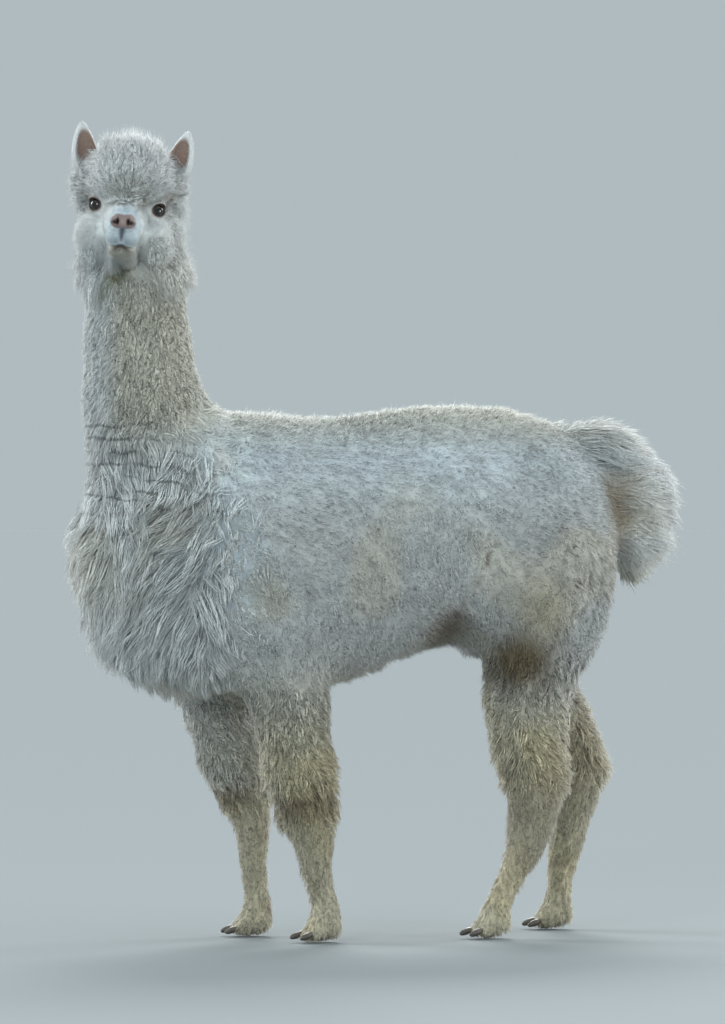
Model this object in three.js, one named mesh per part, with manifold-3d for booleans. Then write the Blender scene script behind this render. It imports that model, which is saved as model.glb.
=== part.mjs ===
// A standing fleece alpaca, life size, as a still museum model.
//
// Frame: millimetres, +Z up, the animal faces -Y and its left side is +X. The origin lies on the
// floor under the middle of the model's bounding box.
//
// The body is one smooth distance field, built from ellipsoids and tapered limbs that melt into
// each other. Each named part wraps its own mesh round that field, at a cell size that suits it,
// and is trimmed by the cutting planes that it shares with its neighbours.

import * as THREE from "three";
import { mergeVertices } from "three/addons/utils/BufferGeometryUtils.js";
import Module from "manifold-3d";

const wasm = await Module();
wasm.setup();

// ---------------------------------------------------------------- driving dimensions

const KERF = 0.4; // gap left between neighbouring parts
const FAR = 4000; // longer than the animal, for half spaces
const TOUCH = 0.35; // clearance round a piece that is let into another

const LEFT = 1;
const RIGHT = -1;

const WITHERS_HEIGHT = 950; // top of the fleece over the shoulders
const LOIN_HEIGHT = 962;
const BARREL_HALF_WIDTH = 205;

const HEAD_TURN = 70; // degrees to the left of straight ahead
const HEAD_ROLL = 5.5; // degrees, left ear lower
const HEAD_AT = { x: 64, y: -443, z: 1305 }; // middle of the line between the eyes
const EYE_RADIUS = 18.5;
const EYE_AT = { side: 47, back: 14, up: 0 }; // from the middle of the head
const EAR_LENGTH = 122;
const TOE_SPREAD = 17; // half the distance between the two toes of a foot

const NAIL = { across: 7.5, along: 16, up: 7, slope: 20 }; // half sizes, and degrees downwards
const SOCKET = { side: 64, front: 10, turn: 46, radii: [16, 24, 12.5] }; // hollow before an eye
const EAR = { halfWidth: 25, depth: 18, wall: 5.5, bow: 4, at: [80, 36, 89], lean: 15, twist: 14 };
const ROOT_HEIGHT = { fore: 442, hind: 500 }; // where the legs part from the trunk
const LEG_DIVIDE = 60; // the forelegs stand ahead of this, the hind legs behind it
const KNEE = 3; // index of the ball in each leg's list that its upper part ends below
const ANKLE_RISE = 14; // how far above the fetlock a foot ends

// Size of one facet of each part, across, lengthwise and upright.
const CELL = {
  trunk: [56, 76, 56],
  neck: [33, 33, 48],
  crown: [21, 21, 21],
  muzzle: [12.5, 12.5, 12.5],
  upper: [31, 31, 48],
  shank: [22, 22, 38],
  foot: [17.5, 20, 18.5],
  tail: [36, 32, 36],
};

const COLOURS = {
  fleece: 0xcfcac0,
  face: 0xd6d4cf,
  legs: 0xbdb3a4,
  earSkin: 0xb98f80,
  eye: 0x120d0b,
  nail: 0x4a4038,
};

// ---------------------------------------------------------------- distance-field shapes
// A shape is a function of x, y, z: negative inside, positive outside, in about millimetres.

const radians = THREE.MathUtils.degToRad;

// Runs a shape in a turned and moved frame of its own.
function placed(shape, matrix) {
  const inverse = matrix.clone().invert();
  const point = new THREE.Vector3();
  return (x, y, z) => {
    point.set(x, y, z).applyMatrix4(inverse);
    return shape(point.x, point.y, point.z);
  };
}

function frameAt([x, y, z], [rx, ry, rz] = [0, 0, 0]) {
  const turn = new THREE.Euler(radians(rx), radians(ry), radians(rz), "ZYX");
  return new THREE.Matrix4().makeRotationFromEuler(turn).setPosition(x, y, z);
}

function ellipsoid(centre, [a, b, c], turn) {
  const shape = (x, y, z) => {
    const near = Math.hypot(x / a, y / b, z / c);
    const slope = Math.hypot(x / a ** 2, y / b ** 2, z / c ** 2);
    return slope > 0 ? (near * (near - 1)) / slope : -Math.min(a, b, c);
  };
  return placed(shape, frameAt(centre, turn));
}

// A tapered capsule between two balls.
function limb([ax, ay, az], startRadius, [bx, by, bz], endRadius) {
  const along = [bx - ax, by - ay, bz - az];
  const lengthSquared = along[0] ** 2 + along[1] ** 2 + along[2] ** 2;
  return (x, y, z) => {
    const dot = (x - ax) * along[0] + (y - ay) * along[1] + (z - az) * along[2];
    const t = THREE.MathUtils.clamp(dot / lengthSquared, 0, 1);
    const off = Math.hypot(x - ax - t * along[0], y - ay - t * along[1], z - az - t * along[2]);
    return off - THREE.MathUtils.lerp(startRadius, endRadius, t);
  };
}

// Joins shapes with a fillet of about the given size.
function melted(fillet, ...shapes) {
  return (x, y, z) => {
    let nearest = shapes[0](x, y, z);
    for (let i = 1; i < shapes.length; i += 1) {
      const other = shapes[i](x, y, z);
      const share = Math.max(fillet - Math.abs(nearest - other), 0) / fillet;
      nearest = Math.min(nearest, other) - (share ** 2 * fillet) / 4;
    }
    return nearest;
  };
}

// A chain of limbs through joints, each { at: [x, y, z], r: radius }.
function chain(fillet, joints) {
  const lengths = joints.slice(1).map((to, i) => limb(joints[i].at, joints[i].r, to.at, to.r));
  return melted(fillet, ...lengths);
}

const mirrored = (make) => [make(LEFT), make(RIGHT)];

// ---------------------------------------------------------------- the body's field

const trunkShape = melted(
  70,
  ellipsoid([0, -185, 702], [BARREL_HALF_WIDTH, 325, WITHERS_HEIGHT - 702]), // ribs
  ellipsoid([0, -327, 706], [172, 172, 230]), // chest fleece
  ellipsoid([0, -60, 640], [178, 230, 180]), // belly
  ellipsoid([0, 145, 744], [BARREL_HALF_WIDTH - 5, 320, LOIN_HEIGHT - 744]), // loin
  ellipsoid([0, 296, 755], [172, 188, 193]), // rump
  ...mirrored((side) => ellipsoid([side * 108, -240, 640], [76, 130, 180])), // shoulders
  ...mirrored((side) => ellipsoid([side * 100, 346, 640], [86, 132, 186])), // thighs
);

const neckShape = chain(20, [
  { at: [0, -356, 820], r: 150 },
  { at: [0, -394, 968], r: 107 },
  { at: [0, -404, 1076], r: 94 },
  { at: [4, -410, 1176], r: 90 },
  { at: [-10, -397, 1290], r: 79 },
]);

const tailShape = chain(20, [
  { at: [0, 400, 885], r: 58 },
  { at: [0, 480, 858], r: 75 },
  { at: [0, 538, 800], r: 83 },
  { at: [0, 550, 724], r: 70 },
  { at: [0, 540, 664], r: 34 },
]);

// Each leg: the balls it is strung through, from its root down to the fetlock, and the angle at
// which its toes point outwards.
const LEGS = {
  foreleg_left: {
    side: LEFT,
    outward: 8,
    joints: [
      { at: [106, -185, 560], r: 84 },
      { at: [106, -155, 446], r: 75 },
      { at: [105, -135, 320], r: 64 },
      { at: [104, -120, 243], r: 55 },
      { at: [103, -110, 202], r: 43 },
      { at: [102, -104, 157], r: 32 },
      { at: [101, -96, 112], r: 26 },
      { at: [100, -80, 62], r: 26 },
    ],
  },
  foreleg_right: {
    side: RIGHT,
    outward: 8,
    joints: [
      { at: [-106, -235, 560], r: 80 },
      { at: [-106, -214, 410], r: 67 },
      { at: [-105, -188, 328], r: 58 },
      { at: [-105, -165, 262], r: 48 },
      { at: [-104, -154, 220], r: 35 },
      { at: [-104, -151, 180], r: 29 },
      { at: [-103, -149, 122], r: 25 },
      { at: [-102, -141, 62], r: 25 },
    ],
  },
  hindleg_left: {
    side: LEFT,
    outward: 6,
    joints: [
      { at: [104, 322, 590], r: 98 },
      { at: [110, 298, 440], r: 82 },
      { at: [111, 300, 362], r: 73 },
      { at: [110, 314, 293], r: 61 },
      { at: [109, 313, 250], r: 50 },
      { at: [108, 308, 207], r: 42 },
      { at: [106, 294, 157], r: 34 },
      { at: [105, 267, 104], r: 25 },
      { at: [104, 242, 60], r: 25 },
    ],
  },
  hindleg_right: {
    side: RIGHT,
    outward: 6,
    joints: [
      { at: [-104, 335, 590], r: 98 },
      { at: [-110, 394, 450], r: 82 },
      { at: [-111, 450, 370], r: 67 },
      { at: [-110, 482, 300], r: 60 },
      { at: [-110, 478, 250], r: 47 },
      { at: [-110, 469, 191], r: 35 },
      { at: [-110, 459, 139], r: 30 },
      { at: [-109, 451, 100], r: 25 },
      { at: [-108, 446, 60], r: 25 },
    ],
  },
};

// One toe, from the fetlock forwards to where its nail starts, in the foot's own frame.
function toe(side) {
  return melted(
    14,
    limb([side * 8, 0, 50], 21, [side * TOE_SPREAD, -30, 20], 16.5),
    limb([side * 9, 12, 26], 19, [side * TOE_SPREAD, -40, 12], 13.5),
  );
}

function footFrame(leg) {
  const [x, y] = leg.joints.at(-1).at;
  return frameAt([x, y, 0], [0, 0, leg.side * leg.outward]);
}

function legShape(leg) {
  const foot = placed(melted(10, toe(LEFT), toe(RIGHT)), footFrame(leg));
  return melted(16, chain(14, leg.joints), foot);
}

// The head in its own frame: it faces -Y, its left is +X, and the origin is between the eyes.
const crownShape = melted(
  22,
  ellipsoid([0, 46, 4], [83, 80, 78]), // skull at the height of the eyes
  ellipsoid([0, 20, 58], [77, 78, 70]), // topknot
  ellipsoid([0, 36, -72], [62, 72, 44]), // throat
  ...mirrored((side) => ellipsoid([side * 47, 20, -58], [42, 56, 50])), // cheeks
  ...mirrored((side) => ellipsoid([side * 79, 32, 46], [19, 32, 31])), // tufts under the ears
);

const muzzleShape = melted(
  14,
  limb([0, 12, -20], 48, [0, -74, -50], 28), // upper jaw
  limb([0, 0, 8], 34, [0, -88, -26], 15), // bridge of the nose
  ellipsoid([0, -86, -30], [25, 30, 16]), // nostrils
  ellipsoid([0, -86, -54], [29, 27, 18]), // upper lip
  ellipsoid([0, -72, -80], [22, 27, 15]), // chin
  limb([0, 20, -76], 36, [0, -58, -74], 22), // lower jaw
);

const eyeCentre = (side) => [side * EYE_AT.side, EYE_AT.back, EYE_AT.up];

const headFrame = frameAt([HEAD_AT.x, HEAD_AT.y, HEAD_AT.z], [0, HEAD_ROLL, HEAD_TURN]);
const headShape = placed(melted(18, crownShape, muzzleShape), headFrame);

const bodyShape = melted(40, melted(16, trunkShape, neckShape), ...Object.values(LEGS).map(legShape));
const animalShape = melted(22, bodyShape, headShape);

// ---------------------------------------------------------------- meshes from fields

const CORNERS = [0, 1, 2, 3, 4, 5, 6, 7].map((i) => [i & 1, (i >> 1) & 1, (i >> 2) & 1]);
const EDGES = CORNERS.flatMap((a, i) =>
  [1, 2, 4].filter((bit) => !(i & bit)).map((bit) => [i, i | bit]),
);

// Moves a point onto the field's zero level, along the field's own slope.
function settle(field, point, reach) {
  const step = 0.02 * reach;
  for (let round = 0; round < 3; round += 1) {
    const depth = field(...point);
    const slope = point.map((_, axis) => {
      const ahead = [...point];
      ahead[axis] += step;
      return (field(...ahead) - depth) / step;
    });
    const steepness = slope.reduce((sum, s) => sum + s * s, 0);
    const move = THREE.MathUtils.clamp(depth / Math.max(steepness, 0.25), -0.3 * reach, 0.3 * reach);
    point.forEach((_, axis) => (point[axis] -= move * slope[axis]));
  }
}

// Wraps a closed mesh round the field inside a box, with one vertex in each crossed cell.
function wrap(field, bounds, cell) {
  const low = bounds.min.toArray().map((v, axis) => v - 1.37 * cell[axis]);
  const count = bounds.max.toArray().map((v, axis) => Math.ceil((v - low[axis]) / cell[axis] + 2.5));
  const index = (i, j, k) => i + count[0] * (j + count[1] * k);
  const depth = new Float32Array(count[0] * count[1] * count[2]);
  const lowest = bounds.min.toArray().map((v, axis) => v - 0.5 * cell[axis]);
  const highest = bounds.max.toArray().map((v, axis) => v + 0.5 * cell[axis]);
  const boxed = (...point) => {
    const out = point.map((v, axis) => Math.max(lowest[axis] - v, v - highest[axis]));
    return Math.max(field(...point), ...out);
  };
  for (let k = 0; k < count[2]; k += 1)
    for (let j = 0; j < count[1]; j += 1)
      for (let i = 0; i < count[0]; i += 1) {
        const corner = [i, j, k].map((step, axis) => low[axis] + step * cell[axis]);
        depth[index(i, j, k)] = boxed(...corner);
      }

  const vertexOf = new Map();
  const positions = [];
  for (let k = 0; k < count[2] - 1; k += 1)
    for (let j = 0; j < count[1] - 1; j += 1)
      for (let i = 0; i < count[0] - 1; i += 1) {
        const at = CORNERS.map(([a, b, c]) => depth[index(i + a, j + b, k + c)]);
        const crossings = EDGES.filter(([a, b]) => at[a] < 0 !== at[b] < 0);
        if (!crossings.length) continue;
        const point = [0, 0, 0];
        for (const [a, b] of crossings) {
          const t = at[a] / (at[a] - at[b]);
          for (let axis = 0; axis < 3; axis += 1) {
            const offset = CORNERS[a][axis] + t * (CORNERS[b][axis] - CORNERS[a][axis]);
            point[axis] += offset / crossings.length;
          }
        }
        for (const [axis, start] of [i, j, k].entries()) {
          point[axis] = low[axis] + (start + point[axis]) * cell[axis];
        }
        settle(boxed, point, Math.min(...cell));
        vertexOf.set(index(i, j, k), positions.length / 3);
        positions.push(...point);
      }

  const faces = [];
  const step = [1, count[0], count[0] * count[1]];
  for (const [cellIndex] of vertexOf)
    for (let axis = 0; axis < 3; axis += 1) {
      const [u, v] = [step[(axis + 1) % 3], step[(axis + 2) % 3]];
      const [from, to] = [depth[cellIndex] < 0, depth[cellIndex + step[axis]] < 0];
      if (from === to) continue;
      const cells = [cellIndex, cellIndex - u, cellIndex - u - v, cellIndex - v];
      const ring = cells.map((c) => vertexOf.get(c));
      const [a, b, c, d] = from ? ring : ring.toReversed();
      const gap = (p, q) => [0, 1, 2].map((n) => positions[3 * p + n] - positions[3 * q + n]);
      const span = (p, q) => Math.hypot(...gap(p, q));
      faces.push(...(span(a, c) < span(b, d) ? [a, b, c, a, c, d] : [a, b, d, b, c, d]));
    }
  return new THREE.BufferGeometry()
    .setAttribute("position", new THREE.Float32BufferAttribute(positions, 3))
    .setIndex(faces);
}

// ---------------------------------------------------------------- solids

function solidOf(geometry, matrix) {
  const bare = new THREE.BufferGeometry()
    .setAttribute("position", geometry.getAttribute("position").clone())
    .setIndex(geometry.index);
  if (matrix) bare.applyMatrix4(matrix);
  const merged = mergeVertices(bare, 1e-3);
  const corners = merged.index.array;
  const whole = [];
  for (let i = 0; i < corners.length; i += 3) {
    const [a, b, c] = corners.slice(i, i + 3);
    if (a !== b && b !== c && c !== a) whole.push(a, b, c);
  }
  return new wasm.Manifold(
    new wasm.Mesh({
      numProp: 3,
      vertProperties: merged.getAttribute("position").array,
      triVerts: new Uint32Array(whole),
    }),
  );
}

function geometryOf(solid) {
  const { numProp, vertProperties, triVerts } = solid.getMesh();
  const positions = [];
  for (let i = 0; i < vertProperties.length; i += numProp)
    positions.push(...vertProperties.slice(i, i + 3));
  return new THREE.BufferGeometry()
    .setAttribute("position", new THREE.Float32BufferAttribute(positions, 3))
    .setIndex([...triVerts]);
}

// A huge box that fills one side of a plane, from half a kerf behind it.
function halfSpace(point, normal, back = KERF / 2) {
  const up = new THREE.Vector3(...normal).normalize();
  const centre = new THREE.Vector3(...point).addScaledVector(up, FAR / 2 + back);
  const turn = new THREE.Quaternion().setFromUnitVectors(new THREE.Vector3(0, 0, 1), up);
  const matrix = new THREE.Matrix4().compose(centre, turn, new THREE.Vector3(1, 1, 1));
  return solidOf(new THREE.BoxGeometry(FAR, FAR, FAR), matrix);
}

// A copy of a mesh with its surface moved out a little, to clear a piece that sits against it.
function swollen(geometry, by) {
  const copy = geometry.clone();
  copy.computeVertexNormals();
  const position = copy.getAttribute("position");
  const normal = copy.getAttribute("normal");
  for (let i = 0; i < position.array.length; i += 1) position.array[i] += by * normal.array[i];
  return copy;
}

// The two sides of a cut: "after" is where the normal points.
function cut(point, normal) {
  const back = normal.map((n) => -n);
  return { after: halfSpace(point, normal), before: halfSpace(point, back) };
}

const box = (low, high) => new THREE.Box3(new THREE.Vector3(...low), new THREE.Vector3(...high));
const floor = cut([0, 0, -KERF / 2], [0, 0, 1]).after;

// Wraps a part's own stretch of a field, then trims it to its cuts.
function trimmed(field, bounds, cell, ...sides) {
  return sides.reduce((solid, side) => solid.intersect(side), solidOf(wrap(field, bounds, cell)));
}

// Keeps the largest body of a solid, without the crumbs that a cut can leave.
function whole(solid) {
  return solid.decompose().sort((a, b) => b.volume() - a.volume())[0];
}

// ---------------------------------------------------------------- materials and nodes

const materials = Object.fromEntries(
  Object.entries(COLOURS).map(([name, color]) => [
    name,
    new THREE.MeshStandardMaterial({ color, roughness: name === "eye" ? 0.12 : 0.9, metalness: 0 }),
  ]),
);

const alpaca = new THREE.Group();

function addNode(name, solid, material) {
  const mesh = new THREE.Mesh(geometryOf(whole(solid)), materials[material]);
  mesh.name = name;
  alpaca.add(mesh);
}

const inHead = (point) => new THREE.Vector3(...point).applyMatrix4(headFrame).toArray();
const headWay = (way) => new THREE.Vector3(...way).transformDirection(headFrame).toArray();
const around = (centre, reach) => box(centre.map((v) => v - reach), centre.map((v) => v + reach));

// ---------------------------------------------------------------- head

const throatCut = cut(inHead([0, 40, -104]), headWay([0, -0.28, 1]));

// The muzzle starts in front of two planes: one under the brow, one ahead of the cheeks.
const MUZZLE_PLANES = [
  [[0, -44, 6], [0, -0.7, -0.71]],
  [[0, -34, -60], [0, -1, 0.12]],
].map(([point, way]) => [inHead(point), headWay(way)]);
const muzzleSpace = (back) => {
  const [brow, cheek] = MUZZLE_PLANES.map(([point, way]) => halfSpace(point, way, back));
  return brow.intersect(cheek);
};

const eyeball = (side, grow = 0) =>
  solidOf(
    new THREE.SphereGeometry(EYE_RADIUS + grow, 12, 8),
    headFrame.clone().multiply(frameAt(eyeCentre(side))),
  );

// The hollow in front of each eye, which shows the eyeball between its lids.
const socket = (side) =>
  solidOf(
    new THREE.SphereGeometry(1, 12, 8).scale(...SOCKET.radii),
    headFrame.clone().multiply(frameAt([side * SOCKET.side, -SOCKET.front, 0], [0, 0, side * SOCKET.turn])),
  );

// An ear is a pointed leaf with a hollowed front. Its own frame: +Z to the tip, -Y is the opening,
// and "bow" is how far its middle stands out to the side.
function earLeaf(halfWidth, depth, length, bow) {
  const leaf = new THREE.SphereGeometry(1, 12, 8);
  const spot = new THREE.Vector3();
  const position = leaf.getAttribute("position");
  for (let i = 0; i < position.count; i += 1) {
    spot.fromBufferAttribute(position, i);
    const height = -spot.y; // the sphere's poles become the root and the tip
    const taper = 1 - 0.22 * height - 0.16 * height ** 2;
    const aside = bow * (1 - height ** 2);
    position.setXYZ(i, spot.x * halfWidth * taper + aside, spot.z * depth * taper, (height * length) / 2);
  }
  return leaf;
}

function earFrame(side) {
  const [aside, back, up] = EAR.at;
  const turn = [-4, side * EAR.lean, -side * EAR.twist];
  return headFrame.clone().multiply(frameAt([side * aside, back, up], turn));
}

function ear(side) {
  const frame = earFrame(side);
  const bow = side * EAR.bow;
  const outside = solidOf(earLeaf(EAR.halfWidth, EAR.depth, EAR_LENGTH, bow), frame);
  const inside = earLeaf(EAR.halfWidth - EAR.wall, EAR.depth - 3, EAR_LENGTH - 18, bow);
  return outside.subtract(solidOf(inside, frame.clone().multiply(frameAt([0, -11, -1]))));
}

const headBounds = around([HEAD_AT.x - 15, HEAD_AT.y + 5, HEAD_AT.z - 5], 150);
const headSkin = wrap(animalShape, headBounds, CELL.crown);
const headCore = solidOf(swollen(headSkin, KERF));
const eyes = { left: LEFT, right: RIGHT };

let crown = solidOf(headSkin).intersect(throatCut.after).subtract(muzzleSpace(-KERF / 2));
for (const side of Object.values(eyes)) {
  crown = crown.subtract(socket(side)).subtract(eyeball(side, TOUCH));
}
addNode("head", crown, "fleece");

const muzzleBounds = around(inHead([0, -78, -50]), 64);
const muzzle = trimmed(animalShape, muzzleBounds, CELL.muzzle, muzzleSpace(KERF / 2), throatCut.after);
addNode("muzzle", muzzle, "face");

for (const [name, side] of Object.entries(eyes)) {
  addNode(`eye_${name}`, eyeball(side), "eye");
  addNode(`ear_${name}`, ear(side).subtract(headCore), "earSkin");
}

// ---------------------------------------------------------------- neck, trunk and tail

const neckCut = cut([0, -380, 925], [0, -0.5, 1]);
const tailReach = box([-110, 320, 600], [110, 660, 985]);

const neckBounds = box([-170, -560, 780], [170, -230, 1270]);
addNode("neck", trimmed(animalShape, neckBounds, CELL.neck, throatCut.before, neckCut.after), "fleece");

const rootCuts = {
  fore: cut([0, 0, ROOT_HEIGHT.fore], [0, 0, 1]),
  hind: cut([0, 0, ROOT_HEIGHT.hind], [0, 0, 1]),
};
const legZone = (low, high) => solidOf(
  new THREE.BoxGeometry(500, high - low, FAR).translate(0, (low + high) / 2, 0),
);
const zones = { fore: legZone(-FAR / 2, LEG_DIVIDE), hind: legZone(LEG_DIVIDE, FAR / 2) };

const trunkSkin = wrap(bodyShape, box([-240, -560, 380], [240, 540, 1010]), CELL.trunk);
let trunk = solidOf(trunkSkin).intersect(neckCut.before);
for (const end of ["fore", "hind"]) trunk = trunk.subtract(rootCuts[end].before.intersect(zones[end]));
addNode("trunk", trunk, "fleece");
addNode(
  "tail",
  solidOf(wrap(tailShape, tailReach, CELL.tail)).subtract(solidOf(swollen(trunkSkin, KERF))),
  "fleece",
);

// ---------------------------------------------------------------- legs

// A nail in the foot's own frame, over the front of one toe.
function nail(frame, side, grow = 0) {
  const sizes = [NAIL.across, NAIL.along, NAIL.up].map((half) => half + grow);
  const claw = new THREE.SphereGeometry(1, 7, 5).scale(...sizes);
  const place = frameAt([side * (TOE_SPREAD + 2), -50, 13.5], [NAIL.slope, 0, side * 4]);
  return solidOf(claw, frame.clone().multiply(place));
}

for (const [name, leg] of Object.entries(LEGS)) {
  const knee = leg.joints[KNEE];
  const below = leg.joints[KNEE + 1];
  const fetlock = leg.joints.at(-1);
  const kneeWay = new THREE.Vector3(...knee.at).sub(new THREE.Vector3(...below.at)).toArray();
  const end = name.slice(0, 4);
  const kneeCut = cut(knee.at.map((v, i) => (v + below.at[i]) / 2), kneeWay);
  const ankleCut = cut([0, 0, fetlock.at[2] + ANKLE_RISE], [0, 0, 1]);
  const ownSide = cut([0, 0, 0], [leg.side, 0, 0]).after;
  const reach = (low, high) => {
    const [inner, outer] = [5 * leg.side, 235 * leg.side].sort((a, b) => a - b);
    return box([inner, knee.at[1] - 150, low], [outer, knee.at[1] + 150, high]);
  };
  const footBounds = box(
    [fetlock.at[0] - 60, fetlock.at[1] - 80, -12],
    [fetlock.at[0] + 60, fetlock.at[1] + 50, 90],
  );
  const frame = footFrame(leg);
  let foot = trimmed(animalShape, footBounds, CELL.foot, ankleCut.before, floor);
  for (const [place, side] of [["inner", -leg.side], ["outer", leg.side]]) {
    foot = foot.subtract(nail(frame, side, TOUCH));
    addNode(`${name}_nail_${place}`, nail(frame, side), "nail");
  }
  const upperBounds = reach(170, ROOT_HEIGHT[end] + 10);
  const upperSides = [rootCuts[end].before, kneeCut.after, ownSide];
  const shankSides = [kneeCut.before, ankleCut.after, ownSide];
  addNode(`${name}_upper`, trimmed(animalShape, upperBounds, CELL.upper, ...upperSides), "legs");
  addNode(`${name}_shank`, trimmed(animalShape, reach(60, 330), CELL.shank, ...shankSides), "legs");
  addNode(`${name}_foot`, foot, "legs");
}

// ---------------------------------------------------------------- the part's origin

const bounds = new THREE.Box3().setFromObject(alpaca);
const middle = bounds.getCenter(new THREE.Vector3());
alpaca.position.set(-middle.x, -middle.y, -bounds.min.z);

export default alpaca;
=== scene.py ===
import math
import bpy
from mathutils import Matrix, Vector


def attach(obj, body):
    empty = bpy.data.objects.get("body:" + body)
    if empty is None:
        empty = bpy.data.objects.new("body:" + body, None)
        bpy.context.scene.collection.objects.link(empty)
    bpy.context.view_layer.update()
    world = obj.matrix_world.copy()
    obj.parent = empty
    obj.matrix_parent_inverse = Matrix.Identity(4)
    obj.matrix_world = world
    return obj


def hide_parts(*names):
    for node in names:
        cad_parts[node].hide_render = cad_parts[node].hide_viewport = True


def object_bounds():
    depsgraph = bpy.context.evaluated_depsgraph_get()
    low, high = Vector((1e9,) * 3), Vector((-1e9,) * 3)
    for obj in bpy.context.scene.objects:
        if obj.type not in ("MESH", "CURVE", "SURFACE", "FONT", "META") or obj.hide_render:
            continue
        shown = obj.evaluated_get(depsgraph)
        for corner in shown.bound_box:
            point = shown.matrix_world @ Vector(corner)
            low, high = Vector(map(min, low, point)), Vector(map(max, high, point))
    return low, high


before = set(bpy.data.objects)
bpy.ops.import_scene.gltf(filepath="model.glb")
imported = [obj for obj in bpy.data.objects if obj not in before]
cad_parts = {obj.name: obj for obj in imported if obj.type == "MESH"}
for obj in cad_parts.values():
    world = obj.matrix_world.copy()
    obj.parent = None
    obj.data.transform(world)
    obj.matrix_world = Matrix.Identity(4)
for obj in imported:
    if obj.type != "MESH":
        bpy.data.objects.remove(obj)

from types import SimpleNamespace

import bmesh
import bpy
import numpy as np
from bpy.props import FloatProperty, FloatVectorProperty, IntProperty, PointerProperty
from mathutils import Matrix, Vector
from mathutils.bvhtree import BVHTree
from mathutils.kdtree import KDTree

bl_info = {
    "name": "Standing alpaca",
    "version": (1, 0, 0),
    "blender": (4, 5, 0),
    "location": "View3D > Sidebar > Alpaca",
    "description": "A life-size fleeced alpaca: skin, eyes, nails, coat and studio",
    "category": "Object",
}

BOX_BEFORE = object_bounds()
MM = 0.001
LEGS = ("foreleg_left", "foreleg_right", "hindleg_left", "hindleg_right")
LEG_PARTS = [f"{leg}_{part}" for leg in LEGS for part in ("upper", "shank", "foot")]
HEAD_PARTS = ["head", "muzzle"]
EARS = ["ear_left", "ear_right"]
BODY_PARTS = ["neck", "trunk", "tail", *LEG_PARTS]
NAILS = [f"{leg}_nail_{toe}" for leg in LEGS for toe in ("inner", "outer")]

# The head's own frame, in millimetres: +X to its left ear, +Y back, +Z up, from between the eyes.
HEAD_AT = (0.064, -0.4913, 1.305)
HEAD_TURN, HEAD_TILT = math.radians(70), math.radians(5.5)
HEAD = (
    Matrix.Translation(HEAD_AT)
    @ Matrix.Rotation(HEAD_TURN, 4, "Z")
    @ Matrix.Rotation(HEAD_TILT, 4, "Y")
    @ Matrix.Scale(MM, 4)
)
# The left eye's centre in that frame, and the way it looks.
EYE_AT = (47, 14, 0)
GAZE = Vector((0.62, -0.78, 0.04)).normalized()

# The coat's limits in metres: past the frame's box at its sides, ends and top, and off the floor.
PAST_SIDES, PAST_ENDS, PAST_TOP, OFF_FLOOR = 0.018, 0.024, 0.030, 0.001
ROOM = (
    np.array(BOX_BEFORE[0]) + [-PAST_SIDES, -PAST_ENDS, OFF_FLOOR],
    np.array(BOX_BEFORE[1]) + [PAST_SIDES, PAST_ENDS, PAST_TOP],
)
# Width of one lock's patch on the skin's unwrap.
PATCH = 0.003
# A lock's build: each ring's width over that of the one below it, and how deep its root sits (m).
TAPER, ROOT_DEPTH = 0.8, 0.0012
# How far its outer half still stands, how much that sags, how much of the clump's pull its middle
# feels, and the least rise from which its length is worked out.
OUTER_STAND, SAG, MIDDLE_PULL, LEAST_RISE = 0.72, 0.10, 0.4, 0.22
# How much of a lock may curl, and how far past the outer form it may always stand (m).
CURL_SHARE, STAND_PROUD = 0.12, 0.0035
# How far round an eye's opening a lock stays clear of it.
EYE_CLEAR = 1.08
# What the skin hands on to the coat: the outer form, and each vertex's node and distance from it.
SHARED = {}


# ---------------------------------------------------------------- small tools

def smooth(low, high, x):
    """0 up to low and 1 from high on, with a soft step between; low may be the greater."""
    t = np.clip((x - low) / (high - low), 0, 1)
    return t * t * (3 - 2 * t)


def unit(v):
    return v / np.maximum(np.linalg.norm(v, axis=-1, keepdims=True), 1e-9)


def wander(points, size, seed, waves=7):
    """A smooth random field, mostly within -1 and 1, whose bumps are about size apart."""
    rng = np.random.default_rng(seed)
    ways = unit(rng.normal(size=(waves, 3))) * math.tau / (size * rng.uniform(0.8, 2.0, (waves, 1)))
    return np.sin(points @ ways.T + rng.uniform(0, math.tau, waves)).sum(1) / math.sqrt(waves)


def to_head(points):
    """Places in the whole animal's frame, as places in the head's."""
    inverse = np.array(HEAD.inverted())
    return points @ inverse[:3, :3].T + inverse[:3, 3]


def from_head(ways):
    """Directions of the head's frame, as directions of the whole animal's."""
    return unit(ways @ (np.array(HEAD.to_3x3()).T))


def into_head(ways):
    """Directions of the whole animal's frame, as directions of the head's."""
    return unit(ways @ np.array(HEAD.to_3x3().inverted()).T)


def eye_place(side):
    """An eye's centre and the way it looks, in the head's frame: side is 1 left, -1 right."""
    return Vector((side * EYE_AT[0], EYE_AT[1], EYE_AT[2])), Vector((side * GAZE.x, GAZE.y, GAZE.z))


def from_eye(q, side):
    """Where points lie from an eye's centre: their offset, and how far ahead, across and up."""
    centre, gaze = (np.array(place) for place in eye_place(side))
    offset = q - centre
    ahead = offset @ gaze
    off = offset - ahead[:, None] * gaze
    level = unit(np.cross([0, 0, 1.0], gaze))
    return offset, ahead, off @ level, off @ np.cross(gaze, level)


def coords(mesh):
    flat = np.empty(len(mesh.vertices) * 3)
    mesh.vertices.foreach_get("co", flat)
    return flat.reshape(-1, 3)


def normals_of(mesh):
    flat = np.empty(len(mesh.vertices) * 3)
    mesh.vertex_normals.foreach_get("vector", flat)
    return flat.reshape(-1, 3)


def new_object(name, mesh):
    obj = bpy.data.objects.new(name, mesh)
    bpy.context.scene.collection.objects.link(obj)
    return obj


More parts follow.
